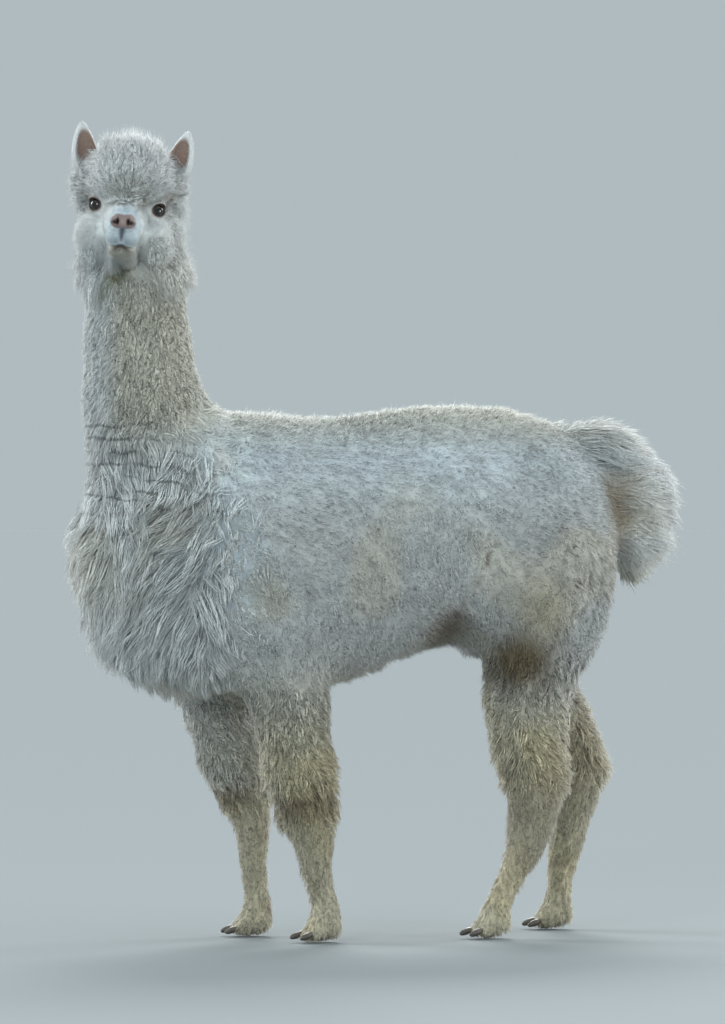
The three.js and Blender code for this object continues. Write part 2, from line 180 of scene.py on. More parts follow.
def from_bmesh(name, bm):
    mesh = bpy.data.meshes.new(name)
    bm.to_mesh(mesh)
    bm.free()
    return new_object(name, mesh)


def applied(obj):
    """Replaces an object's mesh by what its modifiers make of it."""
    made = bpy.data.meshes.new_from_object(obj.evaluated_get(bpy.context.evaluated_depsgraph_get()))
    obj.modifiers.clear()
    old, obj.data = obj.data, made
    bpy.data.meshes.remove(old)
    return obj


def remeshed(obj, voxel):
    """One closed surface round everything in an object."""
    change = obj.modifiers.new("one surface", "REMESH")
    change.mode = "VOXEL"
    change.voxel_size = voxel
    return applied(obj)


def relaxed(mesh, rounds, factor=0.5):
    bm = bmesh.new()
    bm.from_mesh(mesh)
    for _ in range(rounds):
        bmesh.ops.smooth_vert(
            bm, verts=bm.verts, factor=factor, use_axis_x=True, use_axis_y=True, use_axis_z=True
        )
    bm.to_mesh(mesh)
    bm.free()


def combined(first, second, operation):
    """Joins the second solid to the first (UNION) or cuts it out (DIFFERENCE), and removes it."""
    change = first.modifiers.new("combined", "BOOLEAN")
    change.operation = operation
    change.solver = "MANIFOLD"
    change.object = second
    applied(first)
    bpy.data.objects.remove(second)
    return first


def smooth_shaded(mesh):
    mesh.polygons.foreach_set("use_smooth", np.ones(len(mesh.polygons), bool))
    mesh.update()


def spread_over(mesh, values, rounds):
    """Evens a number per vertex out over its neighbours."""
    edges = np.empty(len(mesh.edges) * 2, np.int32)
    mesh.edges.foreach_get("vertices", edges)
    a, b = edges[0::2], edges[1::2]
    count = np.bincount(edges, minlength=len(values)) + 1.0
    for _ in range(rounds):
        total = values.copy()
        total += np.bincount(a, values[b], len(values)) + np.bincount(b, values[a], len(values))
        values = total / count
    return values


# ---------------------------------------------------------------- materials

def shader(name):
    material = bpy.data.materials.new(name)
    material.use_nodes = True
    tree = material.node_tree
    return material, tree, tree.nodes["Principled BSDF"]


def set_values(node, values):
    for socket, value in values.items():
        node.inputs[socket].default_value = value


def linked(tree, kind, source, socket, values):
    """A node of one kind, fed by a source and with its other values set."""
    node = tree.nodes.new(kind)
    set_values(node, values)
    tree.links.new(source, node.inputs[socket])
    return node


def noise(tree, place, scale, detail=2.0, roughness=0.5, distortion=0.0):
    return linked(tree, "ShaderNodeTexNoise", place, "Vector", {
        "Scale": scale, "Detail": detail, "Roughness": roughness, "Distortion": distortion,
    }).outputs["Fac"]


def scaled(tree, place, scale):
    return linked(tree, "ShaderNodeMapping", place, "Vector", {"Scale": scale}).outputs["Vector"]


def attribute(tree, name):
    node = tree.nodes.new("ShaderNodeAttribute")
    node.attribute_name = name
    return node


def calculated(tree, kind, first, second=0.0):
    """A number worked out from one or two others, each a socket or a plain value."""
    node = tree.nodes.new("ShaderNodeMath")
    node.operation = kind
    for socket, value in zip(node.inputs, (first, second)):
        if isinstance(value, (int, float)):
            socket.default_value = value
        else:
            tree.links.new(value, socket)
    return node.outputs["Value"]


def ranged(tree, value, low, high, at_low, at_high, kind="SMOOTHSTEP"):
    """A value carried from one range to another."""
    node = linked(tree, "ShaderNodeMapRange", value, "Value", {
        "From Min": low, "From Max": high, "To Min": at_low, "To Max": at_high,
    })
    node.interpolation_type = kind
    return node.outputs["Result"]


# The lines of painted shade where the fleece opens across throat and chest, in metres: their
# lowest and highest, the step between them, how much they rise towards the back, and how far
# they stray from level.
BREAK_LOW, BREAK_HIGH, BREAK_STEP = 0.74, 0.945, 0.0265
BREAK_RISE, BREAK_TOP, BREAK_FRONT, BREAK_STRAY = 0.42, 0.90, 0.42, 0.040
BREAK_SHADE = 0.56
CRACK_WIDTH = 0.07


def cracked(tree, place, shade, size, stretch, dark):
    """Multiplies a shade by thin dark lines of painted shade, size apart, where the fleece parts."""
    field = noise(tree, scaled(tree, place, [1 / (size * s) for s in stretch]), 1.0, distortion=0.5)
    away = calculated(tree, "ABSOLUTE", calculated(tree, "SUBTRACT", field, 0.5))
    return calculated(tree, "MULTIPLY", ranged(tree, away, 0.0, CRACK_WIDTH, dark, 1.0), shade)


def opened_across(tree, place, shade):
    """Multiplies a shade by the dark, broken lines of painted shade where the fleece opens across
    throat and chest.
    """
    axes = linked(tree, "ShaderNodeSeparateXYZ", place, "Vector", {})
    y, z = axes.outputs["Y"], axes.outputs["Z"]
    rough = noise(tree, place, 22.0, 6.0, 0.65)
    gaps = noise(tree, scaled(tree, place, (13.0, 13.0, 48.0)), 1.0, 1.0)
    rise = ranged(tree, z, BREAK_LOW, BREAK_TOP, BREAK_RISE, 0.0)
    slope = calculated(tree, "MULTIPLY", rise, calculated(tree, "ADD", y, BREAK_FRONT))
    level = calculated(tree, "ADD", z, slope)
    level = calculated(tree, "ADD", level, calculated(tree, "MULTIPLY", rough, BREAK_STRAY))
    row = calculated(tree, "FRACT", calculated(tree, "DIVIDE", level, BREAK_STEP))
    away = calculated(tree, "ABSOLUTE", calculated(tree, "SUBTRACT", row, 0.5))
    line = ranged(tree, away, 0.02, 0.21, 1.0, 0.0)
    for share in (
        ranged(tree, gaps, 0.47, 0.57, 0.0, 1.0),
        ranged(tree, y, -0.36, -0.42, 0.0, 1.0),
        ranged(tree, z, BREAK_LOW, BREAK_LOW + 0.05, 0.0, 1.0),
        ranged(tree, z, BREAK_HIGH, BREAK_HIGH - 0.03, 0.0, 1.0),
    ):
        line = calculated(tree, "MULTIPLY", line, share)
    darker = calculated(tree, "SUBTRACT", 1.0, calculated(tree, "MULTIPLY", line, BREAK_SHADE))
    return calculated(tree, "MULTIPLY", shade, darker)


def tinted(tree, bsdf, scale, low, high, distortion=0.0, cracks=None, breaks=False):
    """The colour attribute, a little darker and lighter in small patches, with cracks of painted shade
    if wanted.
    """
    colour = attribute(tree, "tint").outputs["Color"]
    place = tree.nodes.new("ShaderNodeTexCoord").outputs["Object"]
    grain = noise(tree, place, scale, 3.0, distortion=distortion)
    shade = ranged(tree, grain, 0.3, 0.7, low, high, "LINEAR")
    if cracks:
        shade = cracked(tree, place, shade, *cracks)
    if breaks:
        shade = opened_across(tree, place, shade)
    mix = tree.nodes.new("ShaderNodeVectorMath")
    mix.operation = "SCALE"
    tree.links.new(colour, mix.inputs[0])
    tree.links.new(shade, mix.inputs["Scale"])
    tree.links.new(mix.outputs["Vector"], bsdf.inputs["Base Color"])
    return place


def bumped(tree, bsdf, height, strength, distance):
    values = {"Strength": strength, "Distance": distance}
    bump = linked(tree, "ShaderNodeBump", height, "Height", values)
    tree.links.new(bump.outputs["Normal"], bsdf.inputs["Normal"])


def wool_material(name, size, stretch, dark, breaks=False):
    """Wool whose fine cracks of painted shade are size apart, drawn out by stretch, and as dark as
    told.
    """
    material, tree, bsdf = shader(name)
    place = tinted(tree, bsdf, 260.0, 0.95, 1.04, cracks=(size, stretch, dark), breaks=breaks)
    set_values(bsdf, {
        "Roughness": 0.72, "Specular IOR Level": 0.22,
        "Sheen Weight": 0.35, "Sheen Roughness": 0.45, "Sheen Tint": (1.0, 0.98, 0.94, 1.0),
        "Subsurface Weight": 0.35, "Subsurface Scale": 0.0016, "Subsurface Radius": (1.0, 0.95, 0.88),
    })
    bumped(tree, bsdf, noise(tree, place, 900.0), 0.25, 0.0004)
    return material


def skin_material():
    material, tree, bsdf = shader("skin and short hair")
    place = tinted(tree, bsdf, 420.0, 0.86, 1.06, 0.6)
    rough = ranged(tree, attribute(tree, "bare").outputs["Fac"], 0.0, 1.0, 0.78, 0.42, "LINEAR")
    tree.links.new(rough, bsdf.inputs["Roughness"])
    set_values(bsdf, {"Specular IOR Level": 0.35})
    cells = linked(tree, "ShaderNodeTexVoronoi", place, "Vector", {"Scale": 900.0})
    bumped(tree, bsdf, cells.outputs["Distance"], 0.5, 0.0003)
    return material


def eye_material():
    material, tree, bsdf = shader("wet eye")
    tinted(tree, bsdf, 700.0, 0.8, 1.1)
    set_values(bsdf, {
        "Roughness": 0.15, "Specular IOR Level": 0.3,
        "Coat Weight": 1.0, "Coat Roughness": 0.03, "Coat IOR": 1.40,
    })
    return material


def horn_material():
    material, tree, bsdf = shader("dark horn")
    place = tinted(tree, bsdf, 120.0, 0.7, 1.25, 1.2)
    set_values(bsdf, {"Roughness": 0.42, "Specular IOR Level": 0.45})
    ridges = linked(tree, "ShaderNodeTexWave", place, "Vector", {"Scale": 180.0, "Distortion": 2.0})
    ridges.bands_direction = "Z"
    bumped(tree, bsdf, ridges.outputs["Fac"], 0.3, 0.0005)
    return material


# ---------------------------------------------------------------- colours, shared by skin and coat

# Dark brown: real dirt in the specks on the rump, and painted shade in the fold between belly and
# thigh.
DIRT_AND_FOLD_SHADE = (0.10, 0.075, 0.05)
# Stains and painted shade on the body: centre (m), reach each way (m), colour, strength.
STAINS_AND_PAINTED_SHADE = [
    ((0.18, 0.210, 0.505), (0.10, 0.070, 0.056), (0.15, 0.105, 0.045), 0.95),
    ((0.18, 0.250, 0.590), (0.10, 0.050, 0.060), (0.44, 0.38, 0.25), 0.55),
    # Painted shadow in the fold between belly and thigh.
    ((0.14, 0.100, 0.545), (0.12, 0.045, 0.050), (0.17, 0.115, 0.055), 0.90),
    ((0.13, -0.190, 0.256), (0.09, 0.062, 0.032), (0.24, 0.175, 0.105), 0.78),
    ((-0.09, -0.250, 0.262), (0.07, 0.040, 0.026), (0.24, 0.175, 0.105), 0.70),
    ((0.10, -0.090, 0.062), (0.04, 0.016, 0.028), (0.27, 0.17, 0.09), 0.80),
    ((-0.10, -0.165, 0.062), (0.04, 0.014, 0.018), (0.25, 0.16, 0.09), 0.70),
    ((-0.09, 0.440, 0.350), (0.07, 0.055, 0.090), (0.34, 0.26, 0.15), 0.40),
    ((0.10, 0.255, 0.270), (0.09, 0.080, 0.080), (0.44, 0.37, 0.26), 0.55),
    ((0.10, 0.255, 0.180), (0.09, 0.080, 0.090), (0.50, 0.43, 0.33), 0.45),
    ((0.00, -0.100, 0.445), (0.12, 0.180, 0.035), (0.52, 0.47, 0.30), 0.60),
    # Painted shade along the crease of that fold, in thin dark lines.
    ((0.19, 0.128, 0.634), (0.05, 0.008, 0.016), (0.24, 0.19, 0.13), 0.60),
    ((0.19, 0.117, 0.608), (0.05, 0.009, 0.016), (0.20, 0.15, 0.10), 0.70),
    ((0.18, 0.106, 0.582), (0.06, 0.010, 0.018), (0.13, 0.09, 0.05), 0.85),
    ((0.19, 0.150, 0.682), (0.05, 0.0045, 0.015), DIRT_AND_FOLD_SHADE, 0.85),
    ((0.19, 0.138, 0.640), (0.05, 0.0050, 0.012), DIRT_AND_FOLD_SHADE, 0.75),
    ((0.00, 0.505, 0.615), (0.12, 0.085, 0.070), (0.84, 0.72, 0.44), 0.80),
    ((0.00, 0.430, 0.775), (0.12, 0.036, 0.085), (0.27, 0.20, 0.11), 0.85),
]
# The same on the head, in its own frame (mm): throat, chin, bridge, brow and temple.
HEAD_STAINS = [
    ((-5, -30, -104), (16, 90, 24), (0.16, 0.16, 0.045), 1.0),
    ((16, -70, -92), (14, 25, 10), (0.55, 0.50, 0.28), 0.55),
    ((0, -30, 28), (34, 40, 20), (0.55, 0.50, 0.42), 0.40),
    ((26, -30, 6), (12, 20, 8), (0.40, 0.34, 0.22), 0.55),
    ((60, 10, 24), (14, 24, 9), (0.50, 0.42, 0.30), 0.45),
]


def stained_and_shaded(points, stains, colour):
    for centre, reach, tone, strength in stains:
        far = (((points - centre) / reach) ** 2).sum(1)
        share = (strength * np.exp(-far ** 1.5))[:, None]
        colour += share * (np.array(tone) - colour)


def markings(points, wool):
    """The coat's colour at each point: cream white, with painted shade and light, and the stains of its
    places.
    """
    x, y, z = points.T
    colour = np.tile(np.array(wool.white, float), (len(points), 1))
    # Painted shade and light: the flanks, and more the rump, darker than the chest and neck; the crown
    # and the top of the back lighter, as if lit from above.
    body = smooth(1.22, 1.10, z) * smooth(0.47, 0.42, y)
    shaded = 0.09 + 0.20 * smooth(-0.34, -0.24, y) + 0.12 * smooth(0.12, 0.28, y)
    crown = 0.09 * smooth(1.30, 1.36, z) + 0.20 * smooth(1.37, 1.41, z)
    colour *= (1 - shaded * body + crown)[:, None]
    # Painted light: the top of the back also bluer, as if lit by the sky.
    back = body * smooth(0.72, 0.86, z) * smooth(-0.40, -0.34, y)
    colour *= 1 + back[:, None] * [0.17, 0.24, 0.31]
    # Dusty wool on the legs, less on the right foreleg, down the neck and in patches below.
    far_foreleg = smooth(0.0, -0.04, x) * smooth(0.0, -0.05, y) * smooth(0.22, 0.30, z)
    low = smooth(0.55, 0.32, z) * (0.80 - 0.45 * far_foreleg)
    neck = smooth(0.86, 0.96, z) * smooth(1.30, 1.12, z) * smooth(-0.535, -0.495, y) * 0.50
    patches = 0.26 * smooth(0.1, 1.0, wander(points, 0.16, 11)) * smooth(0.86, 0.74, z)
    share = np.clip(np.maximum(low, neck) + patches, 0, 1)[:, None]
    colour += share * (np.array(wool.cream) - colour)
    stained_and_shaded(points, STAINS_AND_PAINTED_SHADE, colour)
    stained_and_shaded(to_head(points), HEAD_STAINS, colour)
    # Specks of dirt on the left of the rump.
    rump = smooth(0.26, 0.32, y) * smooth(0.56, 0.62, z) * smooth(0.84, 0.78, z) * smooth(0.06, 0.10, x)
    specks = rump * smooth(1.15, 1.35, wander(points, 0.013, 41))
    colour += 0.85 * specks[:, None] * (np.array(DIRT_AND_FOLD_SHADE) - colour)
    colour *= (1 + 0.05 * wander(points, 0.03, 12))[:, None]
    return np.clip(colour, 0.01, 0.95)


# ---------------------------------------------------------------- skin

def grown_copy(name, nodes, grow):
    """The flesh solids as one mesh, each swollen a little so that they meet."""
    bm = bmesh.new()
    for node in nodes:
        bm.from_mesh(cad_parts[node].data)
    bmesh.ops.remove_doubles(bm, verts=bm.verts, dist=1e-6)
    bm.normal_update()
    for vert in bm.verts:
        vert.co += vert.normal * grow
    return from_bmesh(name, bm)


def ball(bm, centre, radii, turn=Matrix(), parts=(32, 20)):
    place = Matrix.Translation(centre) @ turn @ Matrix.Diagonal((*radii, 1))
    round_way, up_way = parts
    bmesh.ops.create_uvsphere(bm, u_segments=round_way, v_segments=up_way, radius=1, matrix=place)


def limb(bm, start, r_start, end, r_end):
    """Two balls and the cone between them."""
    start, end = Vector(start), Vector(end)
    ball(bm, start, (r_start,) * 3)
    ball(bm, end, (r_end,) * 3)
    way = end - start
    turn = way.to_track_quat("Z", "Y").to_matrix().to_4x4()
    bmesh.ops.create_cone(
        bm, cap_ends=True, segments=32, radius1=r_start, radius2=r_end, depth=way.length,
        matrix=Matrix.Translation((start + end) / 2) @ turn,
    )


# The skull as ellipsoids: centre and radii in the head's frame (mm).
SKULL = [
    ((0, 46, 4), (72, 70, 70)), ((0, 19, 52), (66, 66, 61)), ((0, 36, -70), (54, 62, 39)),
    ((46, 18, -55), (36, 50, 44)), ((-46, 18, -55), (36, 50, 44)),
    ((44, 8, 12), (27, 15, 20)), ((-44, 8, 12), (27, 15, 20)),
    ((0, -86, -30), (25, 29, 15)), ((0, -84, -56), (30.5, 26, 18)), ((0, -70, -79), (24, 27, 15)),
]
# Jaws, bridge and throat as tapering limbs: start, its radius, end, its radius (mm).
SNOUT = [
    ((0, 12, -20), 46, (0, -74, -50), 27), ((0, 0, 8), 32, (0, -88, -26), 14),
    ((0, 20, -76), 34, (0, -58, -74), 21),
    ((19, 80, -13), 52, (23, 68, -127), 58),
]
# The voxels (mm) that make one surface of the bare skull, and of the head with ears and lids.
SKULL_VOXEL, HEAD_VOXEL = 2.4, 1.7

# An ear: where it stands, its lean about each axis (degrees), and half width, depth and length (mm)
# of the leaf and of the hollow in its front.
EAR_AT = (80, 36, 89)
EAR_LEAN = (-4, 15, -14)
EAR_LEAF = (24.0, 16.5, 118)
EAR_HOLLOW = (19.0, 15.0, 104)


def ear_place(side):
    lean = [math.radians(angle) for angle in (EAR_LEAN[0], side * EAR_LEAN[1], side * EAR_LEAN[2])]
    spin = Matrix.Rotation(lean[2], 4, "Z") @ Matrix.Rotation(lean[1], 4, "Y")
    spin = spin @ Matrix.Rotation(lean[0], 4, "X")
    return Matrix.Translation((side * EAR_AT[0], EAR_AT[1], EAR_AT[2])) @ spin


def ear_leaf(half_width, depth, length, side, place):
    """A pointed leaf, broadest below its middle and bowed outwards."""
    bm = bmesh.new()
    bmesh.ops.create_uvsphere(bm, u_segments=36, v_segments=28, radius=1)
    for vert in bm.verts:
        x, y, z = vert.co
        taper = 1 - 0.22 * z - 0.16 * z * z
        bow = side * 4 * (1 - z * z)
        vert.co = place @ Vector((x * half_width * taper + bow, y * depth * taper, z * length / 2))
    return bm


def mouth_height(x):
    """The line between the lips, in the head's frame."""
    wide = np.abs(x)
    return -70.5 - 3.2 * smooth(1.0, 12.0, wide) + 1.0 * smooth(14.0, 26.0, wide)


def pressed(q, side, centre, reach, push):
    """Moves the points round a place on one side of the face."""
    share = np.exp(-(((q - [side * centre[0], *centre[1:]]) / reach) ** 2).sum(1))
    q += share[:, None] * np.array([side * push[0], *push[1:]], float)


# The left half of the nose and upper lip: centre, reach each way and push (mm).
NOSE = [
    ((12, -108, -20), (8, 24, 5), (0, -2.2, 1.0)),
    ((20, -104, -29), (4.5, 24, 7), (1.6, -2.4, 0)),
    ((13, -108, -56), (10, 24, 9), (0, -3.2, 0)),
]
# The left nostril's slit and its wing: centre, reach (mm) and share of the nostril's depth.
NOSTRIL = [
    ((9.2, -112, -30), (2.7, 26, 5.6), 1.0),
    ((14.0, -110, -31.5), (4.4, 26, 3.0), 0.7),
]


def carve_face(q, face):
    """Nose, nostrils, cleft lip and mouth, worked into the head's vertices in millimetres."""
    front = smooth(-62, -80, q[:, 1])
    for side in (1, -1):
        for centre, reach, push in NOSE:
            pressed(q, side, centre, reach, push)
        for centre, reach, share in NOSTRIL:
            pressed(q, side, centre, reach, (0, share * face.nostril_depth, 0))
    pressed(q, 1, (0, -112, -15), (4.5, 24, 4), (0, 2.0, -1.2))
    x, z = q[:, 0], q[:, 2]
    width = 5.6 - 2.6 * smooth(-42, -62, z)
    cleft = np.exp(-(x / width) ** 2) * smooth(-38, -44, z) * smooth(-70, -64, z) * front
    q[:, 1] += cleft * face.lip_cleft
    line = np.exp(-((z - mouth_height(x)) / 1.6) ** 2) * smooth(28, 22, np.abs(x)) * front
    q[:, 1] += line * face.mouth_depth
    q[:, 0] -= line * np.sign(x) * 0.35 * face.mouth_depth * smooth(14, 26, np.abs(x))
    lower = np.exp(-((z - mouth_height(x) + 6.0) / 3.2) ** 2) * smooth(20, 12, np.abs(x)) * front
    q[:, 1] -= lower * 1.6


def subdivided_where(mesh, chosen):
    bm = bmesh.new()
    bm.from_mesh(mesh)
    bm.verts.ensure_lookup_table()
    edges = [e for e in bm.edges if chosen[e.verts[0].index] and chosen[e.verts[1].index]]
    bmesh.ops.subdivide_edges(bm, edges=edges, cuts=1, use_grid_fill=True)
    bmesh.ops.triangulate(bm, faces=[f for f in bm.faces if len(f.verts) > 4])
    bm.to_mesh(mesh)
    bm.free()


def looking(side):
    """The turn from straight up to an eye's gaze."""
    return eye_place(side)[1].to_track_quat("Z", "Y").to_matrix().to_4x4()


def head_shell(face):
    """The bare head with its ears, lids, nose and mouth, in the head's millimetres."""
    bm = bmesh.new()
    for centre, radii in SKULL:
        ball(bm, centre, radii)
    for start, r_start, end, r_end in SNOUT:
        limb(bm, start, r_start, end, r_end)
    head = remeshed(from_bmesh("head shell", bm), SKULL_VOXEL)
    relaxed(head.data, 14)
    bm = bmesh.new()
    for side in (1, -1):
        ball(bm, eye_place(side)[0], (face.eye_radius + face.lid_thickness,) * 3, parts=(48, 32))
    combined(head, from_bmesh("lids", bm), "UNION")
    for side in (1, -1):
        place = ear_place(side)
        ear = from_bmesh("ear", ear_leaf(*EAR_LEAF, side, place))
        inner = place @ Matrix.Translation((0, -10.5, -1))
        combined(ear, from_bmesh("hollow", ear_leaf(*EAR_HOLLOW, side, inner)), "DIFFERENCE")
        combined(head, ear, "UNION")
        centre, gaze = eye_place(side)
        bm = bmesh.new()
        opening = (face.eye_width, face.eye_height, 13.0)
        ball(bm, centre + gaze * (face.eye_radius + 5.0), opening, looking(side), (48, 32))
        combined(head, from_bmesh("opening", bm), "DIFFERENCE")
    remeshed(head, HEAD_VOXEL)
    relaxed(head.data, 3)
    q = coords(head.data)
    nose = (np.abs(q[:, 0]) < 34) & (q[:, 1] < -62) & (q[:, 2] < -8)
    subdivided_where(head.data, nose)
    q = coords(head.data)
    carve_face(q, face)
    head.data.vertices.foreach_set("co", q.ravel())
    relaxed(head.data, 1)
    coarser_behind(head)
    head.data.transform(HEAD)
    return head


def coarser_behind(head):
    """Fewer triangles where the wool hides the head."""
    wool = head.vertex_groups.new(name="wool")
    q = coords(head.data)
    ears = (q[:, 2] > 40) & (np.abs(q[:, 0]) > 58)
    behind = np.flatnonzero(((q[:, 1] > 30) | (q[:, 2] > 34) | (q[:, 2] < -112)) & ~ears)
    wool.add([int(i) for i in behind], 1.0, "REPLACE")
    thin = head.modifiers.new("coarser behind", "DECIMATE")
    thin.vertex_group = "wool"
    thin.ratio = 0.45
    applied(head)
    head.vertex_groups.clear()


# How far the skin lies inside the fleece (m): the chest's is on top of the trunk's, and the neck,
# the upper legs and the shanks have their own at the bottom or the top.
DEPTHS = dict(
    trunk=0.0135, chest=0.018, neck=0.011, neck_foot=0.006, tail=0.024, head=0.022,
    upper=0.014, knee=-0.004, shank=0.006, shank_top=0.004, foot=0.0045,
)


def coat_depth(points, label):
    """How far the skin lies inside the fleece, per point of the outer form."""
    y, z = points[:, 1], points[:, 2]
    chest = smooth(-0.32, -0.42, y) * smooth(0.50, 0.62, z) * smooth(0.94, 0.84, z)
    depth = DEPTHS["trunk"] + DEPTHS["chest"] * chest
    neck = DEPTHS["neck"] + DEPTHS["neck_foot"] * smooth(1.0, 0.88, z)
    upper = DEPTHS["upper"] + DEPTHS["knee"] * smooth(0.34, 0.27, z)
    shank = DEPTHS["shank"] + DEPTHS["shank_top"] * smooth(0.18, 0.26, z)
    for here, value in (
        (label == "neck", neck),
        (label == "tail", DEPTHS["tail"]),
        (np.isin(label, HEAD_PARTS), DEPTHS["head"]),
        (np.char.endswith(label, "_upper"), upper),
        (np.char.endswith(label, "_shank"), shank),
        (np.char.endswith(label, "_foot"), DEPTHS["foot"]),
    ):
        depth = np.where(here, value, depth)
    return depth


def node_tree():
    """Every flesh solid's surface in one search tree, with its node's name."""
    verts, faces, owner = [], [], []
    for node in [*BODY_PARTS, *HEAD_PARTS, *EARS]:
        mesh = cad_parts[node].data
        start = len(verts)
        verts.extend(coords(mesh))
        for poly in mesh.polygons:
            faces.append([start + i for i in poly.vertices])
            owner.append(node)
    return BVHTree.FromPolygons([Vector(v) for v in verts], faces), np.array(owner)


def labels_at(points, tree, owner):
    return owner[[tree.find_nearest(Vector(p))[2] for p in points]]


# The face's colours. The bluish grey of muzzle and bridge is painted shade on white hair; the
# upper lip's is dark skin through the short hair and painted shade; the near black of the
# nostrils and the grey of the chin are painted shade.
FACE_TONES = dict(
    muzzle=(0.50, 0.585, 0.635), bridge=(0.40, 0.47, 0.52), upper_lip=(0.30, 0.35, 0.41),
    leather=(0.27, 0.20, 0.185), septum=(0.42, 0.31, 0.29), nostril=(0.035, 0.02, 0.018),
    cleft=(0.075, 0.085, 0.10), mouth=(0.06, 0.045, 0.045), chin=(0.36, 0.34, 0.275),
    lower_lip=(0.055, 0.040, 0.032), lids=(0.34, 0.24, 0.20), lid_edge=(0.05, 0.035, 0.03),
    ear=(0.30, 0.205, 0.165), ear_deep=(0.17, 0.085, 0.06),
)
# Half the width and height of the lids' edge, and of the opening where nothing grows (mm).
LID_EDGE, LID_OPENING = (14.5, 11.5), (14.6, 11.8)
# The nose leather's middle height and half its width and height (mm).
LEATHER_AT, LEATHER_WIDTH, LEATHER_HEIGHT = -28.5, 25.0, 13.0


def face_colours(q, normal, colour, bare, cups=True):
    """Nose leather, nostrils, lips, lids and the inside of the ears on top of the coat's colours, with
    painted shade on muzzle, upper lip and chin and in the nostrils.
    """
    def paint(share, tone, skin=0.0):
        share = np.clip(share, 0, 1)[:, None]
        colour[:] = colour + share * (tone - colour)
        if skin:
            bare[:] = np.maximum(bare, skin * share[:, 0])

    tones = {place: np.array(tone) for place, tone in FACE_TONES.items()}
    x, y, z = q.T
    wide = np.abs(x)
    front = smooth(-66, -80, y)
    # Painted shade: the muzzle's white hair bluish grey, darker on the bridge.
    muzzle = smooth(-40, -62, y) * smooth(6, -10, z)
    paint(0.85 * muzzle, tones["muzzle"])
    paint(0.5 * muzzle * smooth(-22, -10, z), tones["bridge"])
    # The upper lip bluish grey: dark skin through the short hair, and painted shade.
    lip = np.exp(-((wide - 7) / 11) ** 2) * smooth(-38, -56, z) * smooth(-73, -66, z) * front
    paint(0.40 * lip, tones["upper_lip"])
    from_middle = np.hypot(x / LEATHER_WIDTH, (z - LEATHER_AT) / LEATHER_HEIGHT)
    leather = smooth(1.12, 0.90, from_middle + 0.10 * np.cos(x / 4.2)) * front
    paint(leather, tones["leather"], 1.0)
    paint(0.6 * leather * np.exp(-(x / 4.5) ** 2) * smooth(-22, -32, z), tones["septum"])
    # Painted shade: near black in the nostrils.
    for side in (1, -1):
        hole = np.exp(-((side * x - 9.2) / 2.9) ** 2 - ((z + 30) / 6.2) ** 2)
        wing = np.exp(-((side * x - 14.0) / 4.6) ** 2 - ((z + 31.5) / 3.4) ** 2)
        paint(1.25 * np.maximum(hole, 0.85 * wing) * front, tones["nostril"], 1.0)
    width = 7.2 - 3.4 * smooth(-42, -60, z)
    cleft = np.exp(-(x / width) ** 2) * smooth(-38, -43, z) * smooth(-69, -55, z) * front
    paint(0.95 * cleft, tones["cleft"], 0.6)
    over_mouth = z - mouth_height(x)
    line = np.exp(-(over_mouth / 1.5) ** 2) * smooth(25, 17, wide) * front
    paint(0.75 * line, tones["mouth"], 0.5)
    # Painted shade: the chin grey.
    chin = smooth(-70.5, -74, z) * smooth(-106, -90, z) * smooth(30, 18, wide) * smooth(-50, -66, y)
    paint(0.9 * chin, tones["chin"])
    lower = np.exp(-((over_mouth + 3.0) / 3.8) ** 2) * smooth(22, 7, wide) * smooth(-50, -62, y)
    paint(0.95 * lower, tones["lower_lip"], 0.4)
    for side in (1, -1):
        offset, ahead, across, up = from_eye(q, side)
        ring = np.hypot(across / LID_EDGE[0], up / LID_EDGE[1])
        near = (ahead > 4) & (np.linalg.norm(offset, axis=1) < 32)
        paint(near * smooth(1.55, 1.0, ring) * 0.75, tones["lids"], 0.3)
        paint(near * smooth(1.12, 0.98, ring), tones["lid_edge"], 0.9)
        if cups:
            cup, height = ear_cup(q, normal, side)
            deep = smooth(30, -30, height)[:, None]
            paint(cup, (1 - deep) * tones["ear"] + deep * tones["ear_deep"], 0.5)


def ear_cup(q, normal, side):
    """1 in the hollow of an ear, and how far each point is up the ear in millimetres."""
    place = np.array(ear_place(side).inverted())
    e = q @ place[:3, :3].T + place[:3, 3]
    facing = smooth(0.0, 0.5, -(normal @ place[:3, :3].T)[:, 1])
    cup = facing * smooth(1.0, 0.75, np.hypot(e[:, 0] / 21.0, (e[:, 2] + 2) / 54.0)) * (e[:, 1] < 9)
    return cup, e[:, 2]


def set_tint(mesh, colour):
    layer = mesh.color_attributes.new("tint", "FLOAT_COLOR", "POINT")
    rgba = np.ones((len(colour), 4), np.float32)
    rgba[:, :3] = colour
    layer.data.foreach_set("color", rgba.ravel())


def unwrapped(obj):
    """An unwrap of the skin's own shape, which the coat's roots share."""
    bpy.context.view_layer.objects.active = obj
    obj.select_set(True)
    obj.data.uv_layers.new(name="OFBake")
    bpy.ops.object.mode_set(mode="EDIT")
    bpy.ops.mesh.select_all(action="SELECT")
    bpy.ops.uv.smart_project(angle_limit=math.radians(66), island_margin=0.001)
    bpy.ops.object.mode_set(mode="OBJECT")
    obj.select_set(False)


def folded(points, start, end, width, depth):
    """Presses a soft groove along a line, inwards from the sides."""
    start, end = np.array(start), np.array(end)
    along = np.clip((points - start) @ (end - start) / ((end - start) @ (end - start)), 0, 1)
    off = points - start - along[:, None] * (end - start)
    share = np.exp(-(np.linalg.norm(off, axis=1) / width) ** 2) * (0.35 + 0.65 * along)
    points[:, 0] -= depth * share * np.sign(points[:, 0])


